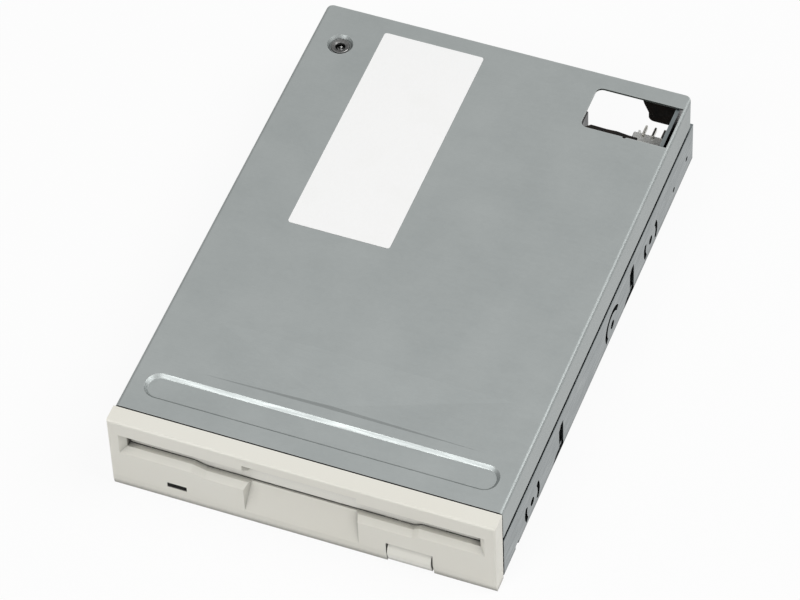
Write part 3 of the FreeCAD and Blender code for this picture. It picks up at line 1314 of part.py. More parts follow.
def switch_body(x):
    """Small closed switch with a guide for its plunger."""
    body = box(x - SWITCH_HALF, x + SWITCH_HALF, SWITCH_Y - SWITCH_HALF, SWITCH_Y + SWITCH_HALF,
               MOTOR_BOARD_TOP, SWITCH_BODY_TOP_Z)
    guide = rod("z", PLUNGER_R + SWITCH_GUIDE_WALL, x, SWITCH_Y, SWITCH_BODY_TOP_Z - PAST, SWITCH_TOP_Z)
    bottom = PLUNGER_BOTTOM_Z - PLUNGER_TRAVEL - PLUNGER_END_GAP
    bore = rod("z", PLUNGER_R + RUNNING_GAP, x, SWITCH_Y, bottom, SWITCH_TOP_Z + PAST)
    return body.fuse(guide).cut(bore).removeSplitter()


def switch_plunger(x):
    pin = rod("z", PLUNGER_R, x, SWITCH_Y, PLUNGER_BOTTOM_Z, PLUNGER_TOP_Z)
    return chamfered(pin, PLUNGER_EDGE, PLUNGER_TOP_Z)


# Head carriage and arm

def carriage_tongue():
    """Flat tongue under the disk, with a rib along each side."""
    rear_y = CARRIAGE_BEAM_Y + PAST
    plan = [(-CARRIAGE_HALF, CARRIAGE_FRONT_Y, CARRIAGE_CORNER),
            (CARRIAGE_HALF, CARRIAGE_FRONT_Y, CARRIAGE_CORNER),
            (CARRIAGE_HALF, rear_y, 0), (-CARRIAGE_HALF, rear_y, 0)]
    tongue = prism(plan, "z", TONGUE_Z, TONGUE_Z + TONGUE_THICKNESS)
    top = TONGUE_Z + OVERLAP
    side = [(CARRIAGE_RIB_FRONT_Y, top), (rear_y, CARRIAGE_RIB_LOW_Z), (rear_y, top)]
    rib = prism(side, "x", CARRIAGE_HALF - CARRIAGE_RIB, CARRIAGE_HALF)
    return [tongue, rib, mirrored(rib)]


def carriage_beam():
    """Beam across, hollow from below, and the block that holds the arm's hinge."""
    beam = box(GUIDE_ROD_X, BEAM_RIGHT_X, CARRIAGE_BEAM_Y, CARRIAGE_REAR_Y, BEAM_BOTTOM_Z, BEAM_TOP_Z)
    half = CARRIAGE_HALF - BEAM_WALL
    pocket = box(-half, half, CARRIAGE_BEAM_Y + BEAM_WALL, CARRIAGE_REAR_Y - BEAM_WALL,
                 BEAM_BOTTOM_Z - PAST, BEAM_TOP_Z - BEAM_WALL)
    tower = box(-CARRIAGE_HALF, CARRIAGE_HALF, TOWER_FRONT_Y, CARRIAGE_REAR_Y, BEAM_TOP_Z - OVERLAP,
                ARM_AXIS_Z + TOWER_ABOVE_AXIS)
    return [beam.cut(pocket), tower]


def sensor_flag():
    """Flag that shades the track zero sensor when the heads are outermost."""
    front = BUSH_REAR_Y - FLAG_FRONT
    rear = BUSH_REAR_Y - FLAG_REAR
    top = SENSOR_TOP_Z + RUNNING_GAP + 2 * FLAG_THICKNESS
    left = SENSOR_X - FLAG_HALF
    over = box(left, GUIDE_ROD_X, front, rear, top - FLAG_THICKNESS, top)
    blade = box(left, SENSOR_X + FLAG_HALF, front, rear, SENSOR_TOP_Z - FLAG_REACH, top)
    return [over, blade]


def head_carriage():
    """Moulded carriage: bush on the guide rod, beam across, tongue under the disk, hinge block, flag."""
    bush = rod("y", GUIDE_ROD_R + BUSH_WALL, GUIDE_ROD_X, GUIDE_ROD_Z, BUSH_FRONT_Y, BUSH_REAR_Y)
    bore = rod("y", GUIDE_ROD_R + PIVOT_GAP, GUIDE_ROD_X, GUIDE_ROD_Z,
               CARRIAGE_BEAM_Y - PAST, BUSH_REAR_Y + PAST)
    fork = box(-ARM_FORK_HALF, ARM_FORK_HALF, TOWER_FRONT_Y - PAST, CARRIAGE_REAR_Y + PAST,
               ARM_AXIS_Z - FORK_BELOW_AXIS, HEIGHT)
    hinge_hole = rod("x", ARM_PIN_R + PIVOT_GAP, ARM_AXIS_Y, ARM_AXIS_Z,
                     -CARRIAGE_HALF - PAST, CARRIAGE_HALF + PAST)
    room = CLAMP_HALF + CLAMP_ROOM
    clamp_room = box(GUIDE_ROD_X - room, GUIDE_ROD_X + room, CARRIAGE_BEAM_Y - PAST, BUSH_FRONT_Y,
                     0, HEIGHT)
    parts = carriage_beam() + [bush] + sensor_flag()
    body = joined(*carriage_tongue()).fuse(parts)
    return body.cut([fork, bore, hinge_hole, clamp_room]).removeSplitter()


def head_block(bottom, top):
    """Square slider with rounded corners, at the heads' place."""
    plan = rectangle(-HEAD_HALF, HEAD_HALF, HEAD_Y - HEAD_HALF, HEAD_Y + HEAD_HALF, HEAD_CORNER)
    return prism(plan, "z", bottom, top)


def lower_head():
    return head_block(TONGUE_Z + TONGUE_THICKNESS, LOWER_HEAD_TOP_Z)


def screw_follower():
    """Pin under the lead screw that rides in its thread, held by the carriage's beam."""
    pin = rod("x", FOLLOWER_R, TOWER_FRONT_Y, SCREW_Z - FOLLOWER_BELOW, BEAM_RIGHT_X, SCREW_X)
    room = rod("y", SCREW_R + RUNNING_GAP, SCREW_X, SCREW_Z, CARRIAGE_BEAM_Y, CARRIAGE_REAR_Y)
    return pin.cut(room)


def lifted(shape):
    """The arm's pieces are drawn flat, then lifted about the hinge to their rest place."""
    shape.rotate(FreeCAD.Vector(0, ARM_AXIS_Y, ARM_AXIS_Z), FreeCAD.Vector(-1, 0, 0), ARM_LIFT_DEG)
    return shape


def arm_plate():
    """Plate of the arm, widest in its middle, with a long window."""
    shoulder_y = ARM_AXIS_Y - ARM_SHOULDER
    right = [(ARM_HEAD_HALF, ARM_FRONT_Y, ARM_CORNER), (ARM_MIDDLE_HALF, ARM_MIDDLE_Y, 0),
             (ARM_BARREL_HALF, shoulder_y, 0), (ARM_BARREL_HALF, ARM_AXIS_Y, 0)]
    left = [(-x, y, radius) for x, y, radius in reversed(right)]
    plate = prism(right + left, "z", ARM_Z, ARM_Z + ARM_THICKNESS)
    opening = rectangle(*ARM_WINDOW, ARM_WINDOW_RADIUS)
    window = prism(opening, "z", ARM_Z - PAST, ARM_Z + ARM_THICKNESS + PAST)
    return plate.cut(window)


def upper_arm():
    """Arm over the disk, with two ribs, and a hinge barrel between the carriage's cheeks."""
    top = ARM_Z + ARM_THICKNESS
    barrel = rod("x", ARM_BARREL_R, ARM_AXIS_Y, ARM_AXIS_Z, -ARM_BARREL_HALF, ARM_BARREL_HALF)
    pin_half = CARRIAGE_HALF - RUNNING_GAP
    pins = rod("x", ARM_PIN_R, ARM_AXIS_Y, ARM_AXIS_Z, -pin_half, pin_half)
    foot_front, crest_front, crest_rear, foot_rear = ARM_RIB_Y
    crest = top + ARM_RIB_HEIGHT
    side = [(foot_front, top - OVERLAP), (crest_front, crest), (crest_rear, crest),
            (foot_rear, top - OVERLAP)]
    rib = prism(side, "x", ARM_RIB_X - ARM_RIB_HALF, ARM_RIB_X + ARM_RIB_HALF)
    return lifted(joined(arm_plate(), barrel, pins, rib, mirrored(rib)))


def upper_head():
    return lifted(head_block(LOWER_HEAD_TOP_Z + HEAD_GAP, ARM_Z))


def arm_spring():
    """Leaf on the arm that presses the upper head down."""
    top = ARM_Z + ARM_THICKNESS
    return lifted(box(-ARM_SPRING_HALF, ARM_SPRING_HALF, *ARM_SPRING_Y, top, top + ARM_SPRING_SHEET))


# Head drive

def guide_rod():
    first, last = CLAMPS_Y
    return rod("y", GUIDE_ROD_R, GUIDE_ROD_X, GUIDE_ROD_Z, first, last + CLAMP_LENGTH)


def rod_clamps():
    """Two blocks that hold the guide rod's ends."""
    foot_left = GUIDE_ROD_X - CLAMP_HALF
    foot_right = GUIDE_ROD_X + CLAMP_HALF
    top = GUIDE_ROD_Z + CLAMP_ABOVE_ROD
    section = [(foot_left, FLOOR_TOP, 0), (foot_right, FLOOR_TOP, 0),
               (foot_right - CLAMP_SLOPE, top, CLAMP_CORNER), (foot_left + CLAMP_SLOPE, top, CLAMP_CORNER)]
    clamps = []
    for y in CLAMPS_Y:
        clamps.append(prism(section, "y", y, y + CLAMP_LENGTH).cut(guide_rod()))
    return Part.makeCompound(clamps)


def stepper_bracket():
    """Folded bracket: the stepper on its rear leg, the lead screw's tip in its front leg."""
    low = FLOOR_TOP
    high = FLOOR_TOP + BRACKET_SHEET
    left = SCREW_X - BRACKET_HALF
    right = SCREW_X + BRACKET_HALF
    rear_left = SCREW_X - BRACKET_REAR_HALF
    rear_right = SCREW_X + BRACKET_REAR_HALF
    foot = box(left, right, BRACKET_FRONT_Y, STEPPER_Y, low, high)
    wide = box(rear_left, rear_right, CROSSBAR_FRONT_Y, STEPPER_Y, low, high)
    front = box(left, right, BRACKET_FRONT_Y, BRACKET_FRONT_Y + BRACKET_SHEET, low, BRACKET_TOP_Z)
    shoulder_z = SCREW_Z + BRACKET_SHOULDER
    top_z = SCREW_Z + STEPPER_R + STEPPER_EDGE
    leg = [(rear_left, low), (rear_right, low), (rear_right, shoulder_z),
           (SCREW_X + BRACKET_SHOULDER_HALF, top_z), (SCREW_X - BRACKET_SHOULDER_HALF, top_z),
           (rear_left, shoulder_z)]
    rear = prism(leg, "y", CROSSBAR_REAR_Y, STEPPER_Y)
    holes = [rod("y", SCREW_TIP_R + RUNNING_GAP, SCREW_X, SCREW_Z,
                 BRACKET_FRONT_Y - PAST, SCREW_FRONT_Y + 2 * PAST),
             rod("y", SCREW_R + SCREW_TIP_R, SCREW_X, SCREW_Z, CROSSBAR_REAR_Y - PAST, STEPPER_Y + PAST)]
    for x, y in BRACKET_SCREWS:
        holes.append(rod("z", BOARD_SCREW_R + RUNNING_GAP, x, y, low - PAST, high + PAST))
    return foot.fuse([wide, front, rear]).cut(holes).removeSplitter()


def lead_screw():
    """Screw with a thin tip in the bracket and a long root in the stepper."""
    thread_y = BRACKET_FRONT_Y + BRACKET_SHEET + 4 * RUNNING_GAP
    tip = rod("y", SCREW_TIP_R, SCREW_X, SCREW_Z, SCREW_FRONT_Y, thread_y + OVERLAP)
    thread = rod("y", SCREW_R, SCREW_X, SCREW_Z, thread_y, STEPPER_Y + STEPPER_ROTOR_FRONT)
    root = rod("y", SCREW_ROOT_R, SCREW_X, SCREW_Z, STEPPER_Y, STEPPER_Y + STEPPER_LENGTH - 2 * RUNNING_GAP)
    return joined(tip, thread, root)


def stepper_can():
    """Drawn can of the stepper motor, with a bearing in its rear wall."""
    front_y = STEPPER_Y
    end_y = STEPPER_Y + STEPPER_LENGTH
    face_y = end_y - STEPPER_EDGE
    face = FreeCAD.Vector(SCREW_X, face_y, SCREW_Z)
    body = rod("y", STEPPER_R, SCREW_X, SCREW_Z, front_y, face_y)
    bevel = Part.makeCone(STEPPER_R, STEPPER_R - STEPPER_EDGE, STEPPER_EDGE, face, FreeCAD.Vector(0, 1, 0))
    cuts = [
        rod("y", STEPPER_INSIDE_R, SCREW_X, SCREW_Z, front_y + STEPPER_END_WALL, end_y - STEPPER_END_WALL),
        rod("y", SCREW_R + RUNNING_GAP, SCREW_X, SCREW_Z,
            front_y - PAST, front_y + STEPPER_END_WALL + PAST),
        rod("y", SCREW_ROOT_R + PIVOT_GAP, SCREW_X, SCREW_Z,
            end_y - STEPPER_END_WALL - PAST, end_y - RUNNING_GAP),
    ]
    return joined(body, bevel).cut(cuts)


def stepper_rotor():
    """Magnet on the lead screw's root."""
    return ring("y", STEPPER_ROTOR_R, SCREW_ROOT_R + SEAT_GAP, SCREW_X, SCREW_Z,
                STEPPER_Y + STEPPER_ROTOR_FRONT, STEPPER_Y + STEPPER_LENGTH - STEPPER_ROTOR_REAR)


# Rear board and connectors

def main_board():
    """Board under the floor's rear opening, wider at the back for the power connector."""
    points = [
        (-BOARD_HALF, BOARD_FRONT_Y), (BOARD_HALF, BOARD_FRONT_Y), (BOARD_HALF, BOARD_WING_Y),
        (BOARD_WING_X, BOARD_WING_Y), (BOARD_WING_X, BOARD_REAR_Y), (-BOARD_HALF, BOARD_REAR_Y),
    ]
    holes = []
    for x, y in BOARD_SCREWS:
        holes.append(rod("z", BOARD_SCREW_R + RUNNING_GAP, x, y, BOARD_Z - PAST, BOARD_TOP + PAST))
    return prism(points, "z", BOARD_Z, BOARD_TOP).cut(holes)


def header_pins(center_x, count, rows_z, bend_y, end_y):
    """Right-angled pins from the board, through the housing's wall, to the rear."""
    pins = []
    half = PIN_SIZE / 2
    for row, z in enumerate(rows_z):
        leg_y = bend_y - row * PIN_ROW_STEP
        for i in range(count):
            x = center_x + (i - (count - 1) / 2) * PIN_PITCH
            leg = box(x - half, x + half, leg_y - PIN_SIZE, leg_y, BOARD_TOP, z + half)
            blade = box(x - half, x + half, leg_y - PIN_SIZE, end_y, z - half, z + half)
            pins.append(joined(leg, blade))
    return Part.makeCompound(pins)


def data_pins():
    return header_pins(DATA_X, DATA_COLUMNS, DATA_ROWS_Z, DATA_FRONT_Y - PIN_BEND,
                       CONNECTOR_REAR_Y - DATA_PIN_SETBACK)


def data_connector():
    """Open shroud round the data pins, keyed in the middle of its top wall."""
    half = DATA_COLUMNS * PIN_PITCH / 2 + DATA_END
    rear = CONNECTOR_REAR_Y + PAST
    back_y = DATA_FRONT_Y + DATA_BACK
    shroud = box(DATA_X - half, DATA_X + half, DATA_FRONT_Y, CONNECTOR_REAR_Y, BOARD_TOP, DATA_TOP_Z)
    inner = half - DATA_END_WALL
    cavity = box(DATA_X - inner, DATA_X + inner, back_y, rear,
                 BOARD_TOP + DATA_WALL, DATA_TOP_Z - DATA_WALL)
    key = box(DATA_X - DATA_KEY_HALF, DATA_X + DATA_KEY_HALF, back_y + DATA_BACK, rear,
              DATA_TOP_Z - 2 * DATA_WALL, DATA_TOP_Z + PAST)
    return shroud.cut([cavity, key, data_pins()])


def power_pins():
    return header_pins(POWER_X, POWER_PINS, (POWER_PIN_Z,), POWER_FRONT_Y - PIN_BEND,
                       CONNECTOR_REAR_Y - POWER_PIN_SETBACK)


def power_connector():
    """Housing of the power plug, with short guide ribs at the front of its top."""
    half = POWER_PINS * PIN_PITCH / 2 + POWER_SIDE
    inner = half - POWER_WALL
    body = box(POWER_X - half, POWER_X + half, POWER_FRONT_Y, CONNECTOR_REAR_Y, BOARD_TOP, POWER_TOP_Z)
    cavity = box(POWER_X - inner, POWER_X + inner, POWER_FRONT_Y + POWER_BACK, CONNECTOR_REAR_Y + PAST,
                 BOARD_TOP + POWER_FLOOR, POWER_TOP_Z - POWER_FLOOR)
    ribs = []
    for i in range(POWER_PINS - 1):
        x = POWER_X + (i - (POWER_PINS - 2) / 2) * PIN_PITCH
        ribs.append(box(x - RIB_HALF, x + RIB_HALF, POWER_FRONT_Y, POWER_FRONT_Y + RIB_LENGTH,
                        POWER_TOP_Z - OVERLAP, POWER_TOP_Z + RIB_HEIGHT))
    return joined(body, *ribs).cut([cavity, power_pins()])


def chip(place, base):
    """Chip body with tapered sides."""
    x, y, width, length, height = place
    half_width = width / 2
    half_length = length / 2
    low = rectangle(x - half_width, x + half_width, y - half_length, y + half_length)
    half_width = half_width - CHIP_TAPER
    half_length = half_length - CHIP_TAPER
    high = rectangle(x - half_width, x + half_width, y - half_length, y + half_length)
    return Part.makeLoft([outline(low, "z", base), outline(high, "z", base + height)], True, True)


def controller_chip():
    return chip(CONTROLLER, BOARD_TOP)


def motor_driver_chip():
    return chip(DRIVER, MOTOR_BOARD_TOP)


def index_sensor():
    """Small sensor beside the rotor's rim."""
    x = ROTOR_R + INDEX_OFFSET
    return box(x - INDEX_HALF, x + INDEX_HALF, *INDEX_Y, MOTOR_BOARD_TOP, MOTOR_BOARD_TOP + INDEX_HEIGHT)


def track_zero_sensor():
    """Light barrier whose gap the carriage's flag enters."""
    front = BUSH_REAR_Y - SENSOR_FRONT
    rear = BUSH_REAR_Y + SENSOR_REAR
    block = box(SENSOR_X - SENSOR_HALF, SENSOR_X + SENSOR_HALF, front, rear, BOARD_TOP, SENSOR_TOP_Z)
    gap = box(SENSOR_X - SENSOR_GAP_HALF, SENSOR_X + SENSOR_GAP_HALF, front - PAST, rear + PAST,
              SENSOR_BASE_Z, SENSOR_TOP_Z + PAST)
    return block.cut(gap)


def capacitor():
    return rod("z", CAPACITOR_R, *CAPACITOR_XY, BOARD_TOP, BOARD_TOP + CAPACITOR_HEIGHT)


def crystal():
    x, y = CRYSTAL_XY
    half_x, half_y = CRYSTAL_HALF
    plan = rectangle(x - half_x, x + half_x, y - half_y, y + half_y, CRYSTAL_RADIUS)
    return prism(plan, "z", BOARD_TOP, BOARD_TOP + CRYSTAL_HEIGHT)


# Fasteners

def screw(x, y, seat_z, length, head_r, shank_r, up=False):
    """Pan head screw; its shank runs down from its seat, or up when it comes from below."""
    direction = 1 if up else -1
    seat = FreeCAD.Vector(x, y, seat_z)
    shank = Part.makeCylinder(shank_r, length, seat, FreeCAD.Vector(0, 0, direction))
    head = Part.makeCylinder(head_r, SCREW_HEAD, seat, FreeCAD.Vector(0, 0, -direction))
    return joined(chamfered(head, SCREW_HEAD_EDGE, seat_z - direction * SCREW_HEAD), shank)


def cover_screw():
    seat = COVER_TOP - DIMPLE_DEPTH
    return screw(COVER_SCREW_X, COVER_SCREW_Y, seat, COVER_SCREW_LENGTH, COVER_SCREW_HEAD_R, COVER_SCREW_R)


def board_screws():
    screws = []
    for x, y in BOARD_SCREWS:
        screws.append(screw(x, y, BOARD_Z, BOARD_SCREW_LENGTH, BOARD_SCREW_HEAD_R, BOARD_SCREW_R, True))
    return Part.makeCompound(screws)


def motor_board_screws():
    screws = []
    for x, y in MOTOR_SCREWS:
        screws.append(screw(x, y, MOTOR_BOARD_TOP, MOTOR_SCREW_LENGTH, BOARD_SCREW_HEAD_R, BOARD_SCREW_R))
    return Part.makeCompound(screws)


def bracket_screws():
    top = FLOOR_TOP + BRACKET_SHEET
    screws = []
    for x, y in BRACKET_SCREWS:
        screws.append(screw(x, y, top, MOTOR_SCREW_LENGTH, BRACKET_SCREW_HEAD_R, BOARD_SCREW_R))
    return Part.makeCompound(screws)


NODES = {
    "chassis_frame": chassis_frame,
    "top_cover": top_cover,
    "front_bezel": front_bezel,
    "light_guide": light_guide,
    "dust_door": dust_door,
    "door_spring": door_spring,
    "slide_plate": slide_plate,
    "slide_springs": slide_springs,
    "eject_button": eject_button,
    "disk_carrier": disk_carrier,
    "carrier_pins": carrier_pins,
    "disk_leaf_springs": disk_leaf_springs,
    "lever_pivot": lever_pivot,
    "shutter_lever": shutter_lever,
    "motor_board": motor_board,
    "spindle_bearing": spindle_bearing,
    "stator_core": stator_core,
    "stator_coils": stator_coils,
    "spindle_shaft": spindle_shaft,
    "rotor_cup": rotor_cup,
    "rotor_magnet": rotor_magnet,
    "chuck_table": chuck_table,
    "chuck_magnet": chuck_magnet,
    "drive_pin_spring": drive_pin_spring,
    "drive_pin": drive_pin,
    "write_protect_switch": lambda: switch_body(-SWITCH_X),
    "write_protect_plunger": lambda: switch_plunger(-SWITCH_X),
    "density_switch": lambda: switch_body(SWITCH_X),
    "density_plunger": lambda: switch_plunger(SWITCH_X),
    "disk_switch": lambda: switch_body(DISK_SWITCH_X),
    "disk_plunger": lambda: switch_plunger(DISK_SWITCH_X),
    "head_carriage": head_carriage,
    "lower_head": lower_head,
    "screw_follower": screw_follower,
    "upper_arm": upper_arm,
    "upper_head": upper_head,
    "arm_spring": arm_spring,
    "guide_rod": guide_rod,
    "rod_clamps": rod_clamps,
    "stepper_bracket": stepper_bracket,
    "lead_screw": lead_screw,
    "stepper_can": stepper_can,
    "stepper_rotor": stepper_rotor,
    "main_board": main_board,
    "data_connector": data_connector,
    "data_pins": data_pins,
    "power_connector": power_connector,
    "power_pins": power_pins,
    "controller_chip": controller_chip,
    "motor_driver_chip": motor_driver_chip,
    "index_sensor": index_sensor,
    "track_zero_sensor": track_zero_sensor,
    "capacitor": capacitor,
    "crystal": crystal,
    "cover_screw": cover_screw,
    "board_screws": board_screws,
    "motor_board_screws": motor_board_screws,
    "bracket_screws": bracket_screws,
}


def main():
    os.makedirs("parts", exist_ok=True)
    to_origin = FreeCAD.Vector(0, -(DEPTH - BUTTON_PROUD) / 2, 0)
    for name, build in NODES.items():
        shape = build()
        shape.translate(to_origin)
        shape.exportStep(os.path.join("parts", name + ".step"))


main()
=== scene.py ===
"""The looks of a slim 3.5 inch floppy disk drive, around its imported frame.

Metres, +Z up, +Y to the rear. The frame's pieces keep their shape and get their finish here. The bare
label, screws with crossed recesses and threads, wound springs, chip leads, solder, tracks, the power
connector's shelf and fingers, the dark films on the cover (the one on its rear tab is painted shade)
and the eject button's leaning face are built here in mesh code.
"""

import json
import math

import bmesh
import bpy
from mathutils import Matrix, Vector


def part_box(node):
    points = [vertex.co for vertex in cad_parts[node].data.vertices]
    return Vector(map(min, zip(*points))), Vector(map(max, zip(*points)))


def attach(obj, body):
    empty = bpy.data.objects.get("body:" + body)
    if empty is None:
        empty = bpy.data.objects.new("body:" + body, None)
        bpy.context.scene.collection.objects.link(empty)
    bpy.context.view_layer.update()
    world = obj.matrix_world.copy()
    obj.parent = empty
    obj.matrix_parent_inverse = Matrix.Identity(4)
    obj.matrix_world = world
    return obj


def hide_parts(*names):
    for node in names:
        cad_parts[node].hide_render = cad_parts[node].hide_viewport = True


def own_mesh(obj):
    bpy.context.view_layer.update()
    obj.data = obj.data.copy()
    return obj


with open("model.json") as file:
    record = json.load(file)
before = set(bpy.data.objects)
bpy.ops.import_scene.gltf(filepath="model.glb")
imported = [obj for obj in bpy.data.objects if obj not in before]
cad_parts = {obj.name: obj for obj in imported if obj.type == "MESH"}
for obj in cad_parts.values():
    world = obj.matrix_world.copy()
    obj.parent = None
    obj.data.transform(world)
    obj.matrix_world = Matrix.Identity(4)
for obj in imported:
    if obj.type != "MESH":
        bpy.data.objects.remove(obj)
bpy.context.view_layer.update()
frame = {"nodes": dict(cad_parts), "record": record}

MM = 0.001

# Picture and camera
PICTURE_WIDTH = 800
SENSOR_WIDTH = 36.0
FOCAL_PIXELS = 4652.7
CAMERA_AZIMUTH = 22.91
CAMERA_ELEVATION = 50.02
CAMERA_ROLL = -2.71
CAMERA_DISTANCE = 1.1817
CAMERA_CLIP = (0.05, 20.0)
CAMERA_TARGET = Vector((0.0, 0.6 * MM, 12.7 * MM))
TARGET_SHIFT = (-2.34 * MM, -3.70 * MM)  # of the picture's middle, to the right and upwards

# Stage
FLOOR_HALF = 4.0
FLOOR_LEVEL = -0.02 * MM
FLOOR_PALE = 0.75                       # how much of the light the floor throws back
FLOOR_SHOWN_WHITE = 0.92                # the share of plain white in the floor as it is seen
SKY_LIGHT = 0.30
SKY_IN_METAL = (0.42, 1.0)              # how bright glossy surfaces see the room, low down and overhead
SKY_LOW, SKY_HIGH = 0.30, 0.85          # sines of the elevations between which it brightens


def direction(azimuth, elevation):
    """Unit vector towards a place seen at this azimuth and elevation; azimuth 0 is the front."""
    a, e = math.radians(azimuth), math.radians(elevation)
    return Vector((math.sin(a) * math.cos(e), -math.cos(a) * math.cos(e), math.sin(e)))


def linked(name, data):
    """A new object in the scene."""
    made = bpy.data.objects.new(name, data)
    bpy.context.scene.collection.objects.link(made)
    return made


def make_camera():
    back = direction(CAMERA_AZIMUTH, CAMERA_ELEVATION)
    level_right = (-back).cross(Vector((0, 0, 1))).normalized()
    level_up = level_right.cross(-back)
    roll = math.radians(CAMERA_ROLL)
    right = level_right * math.cos(roll) + level_up * math.sin(roll)
    up = level_up * math.cos(roll) - level_right * math.sin(roll)
    place = CAMERA_TARGET + right * TARGET_SHIFT[0] + up * TARGET_SHIFT[1] + back * CAMERA_DISTANCE
    data = bpy.data.cameras.new("photo_camera")
    data.sensor_width = SENSOR_WIDTH
    data.lens = FOCAL_PIXELS / PICTURE_WIDTH * SENSOR_WIDTH
    data.clip_start, data.clip_end = CAMERA_CLIP
    camera = linked("photo_camera", data)
    camera.matrix_world = Matrix((right, up, back)).transposed().to_4x4()
    camera.location = place
    bpy.context.scene.camera = camera


def seen_directly(tree):
    """1 for rays of the camera, of a mirror or of glass, 0 for the light that falls on things."""
    path = tree.nodes.new("ShaderNodeLightPath")
    seen = path.outputs["Is Camera Ray"]
    for kind in ("Is Glossy Ray", "Is Transmission Ray"):
        either = tree.nodes.new("ShaderNodeMath")
        either.operation = "MAXIMUM"
        tree.links.new(seen, either.inputs[0])
        tree.links.new(path.outputs[kind], either.inputs[1])
        seen = either.outputs[0]
    return seen


def make_world():
    """White to the camera, a soft light for the object, and brighter overhead in its reflections."""
    world = bpy.data.worlds.new("white_studio")
    world.use_nodes = True
    tree = world.node_tree
    tree.nodes.clear()
    way = tree.nodes.new("ShaderNodeTexCoord")
    height = tree.nodes.new("ShaderNodeSeparateXYZ")
    tree.links.new(way.outputs["Generated"], height.inputs[0])
    mirrored = tree.nodes.new("ShaderNodeMapRange")
    mirrored.inputs["From Min"].default_value = SKY_LOW
    mirrored.inputs["From Max"].default_value = SKY_HIGH
    mirrored.inputs["To Min"].default_value, mirrored.inputs["To Max"].default_value = SKY_IN_METAL
    tree.links.new(height.outputs["Z"], mirrored.inputs["Value"])
    path = tree.nodes.new("ShaderNodeLightPath")
    seen = tree.nodes.new("ShaderNodeMapRange")
    tree.links.new(path.outputs["Is Camera Ray"], seen.inputs["Value"])
    tree.links.new(mirrored.outputs[0], seen.inputs["To Min"])
    strength = tree.nodes.new("ShaderNodeMapRange")
    strength.inputs["To Min"].default_value = SKY_LIGHT
    tree.links.new(seen.outputs[0], strength.inputs["To Max"])
    tree.links.new(seen_directly(tree), strength.inputs["Value"])
    background = tree.nodes.new("ShaderNodeBackground")
    background.inputs["Color"].default_value = (1.0, 1.0, 1.0, 1.0)
    tree.links.new(strength.outputs[0], background.inputs["Strength"])
    output = tree.nodes.new("ShaderNodeOutputWorld")
    tree.links.new(background.outputs[0], output.inputs["Surface"])
    bpy.context.scene.world = world


def make_floor():
    mesh = bpy.data.meshes.new("floor")
    corners = [(-FLOOR_HALF, -FLOOR_HALF, FLOOR_LEVEL), (FLOOR_HALF, -FLOOR_HALF, FLOOR_LEVEL),
               (FLOOR_HALF, FLOOR_HALF, FLOOR_LEVEL), (-FLOOR_HALF, FLOOR_HALF, FLOOR_LEVEL)]
    mesh.from_pydata(corners, [], [(0, 1, 2, 3)])
    floor = linked("floor", mesh)
    paint = bpy.data.materials.new("pale_floor")
    paint.use_nodes = True
    tree = paint.node_tree
    tree.nodes.clear()
    share = tree.nodes.new("ShaderNodeMath")
    share.operation = "MULTIPLY"
    share.inputs[1].default_value = FLOOR_SHOWN_WHITE
    tree.links.new(seen_directly(tree), share.inputs[0])
    surface = tree.nodes.new("ShaderNodeBsdfDiffuse")
    surface.inputs["Color"].default_value = (FLOOR_PALE, FLOOR_PALE, FLOOR_PALE, 1.0)
    white = tree.nodes.new("ShaderNodeEmission")
    both = tree.nodes.new("ShaderNodeMixShader")
    tree.links.new(share.outputs[0], both.inputs[0])
    tree.links.new(surface.outputs[0], both.inputs[1])
    tree.links.new(white.outputs[0], both.inputs[2])
    output = tree.nodes.new("ShaderNodeOutputMaterial")
    tree.links.new(both.outputs[0], output.inputs["Surface"])
    mesh.materials.append(paint)


def make_lamp(name, azimuth, elevation, distance, size, watts):
    """A square soft box that looks at the middle of the object."""
    data = bpy.data.lights.new(name, "AREA")
    data.shape = "SQUARE"
    data.size = size
    data.energy = watts
    lamp = linked(name, data)
    lamp.location = direction(azimuth, elevation) * distance
    lamp.rotation_mode = "QUATERNION"
    lamp.rotation_quaternion = direction(azimuth, elevation).to_track_quat("Z", "Y")


make_camera()
make_world()
make_floor()
make_lamp("key_softbox", azimuth=102, elevation=54, distance=2.0, size=1.3, watts=24)
make_lamp("front_softbox", azimuth=-20, elevation=43, distance=2.2, size=0.85, watts=17)
bpy.context.scene.view_settings.view_transform = "Standard"


# Finishes. Every pattern is laid in the piece's own coordinates, in metres, so it moves with the piece.
COAT_ROUGHNESS = 0.1
BEVEL_SAMPLES = 4
HOLLOW_SAMPLES = 6
EDGE_FLAT, EDGE_SHARP = 0.99, 0.80      # how well a face agrees with its rounded self
MIX_SHARE, MIX_BELOW, MIX_OVER, MIX_SHOWN = 0, 6, 7, 2      # sockets of a colour mix


def scaled(colour, by):
    """A lighter or darker colour."""
    return tuple(min(1.0, by * part) for part in colour)


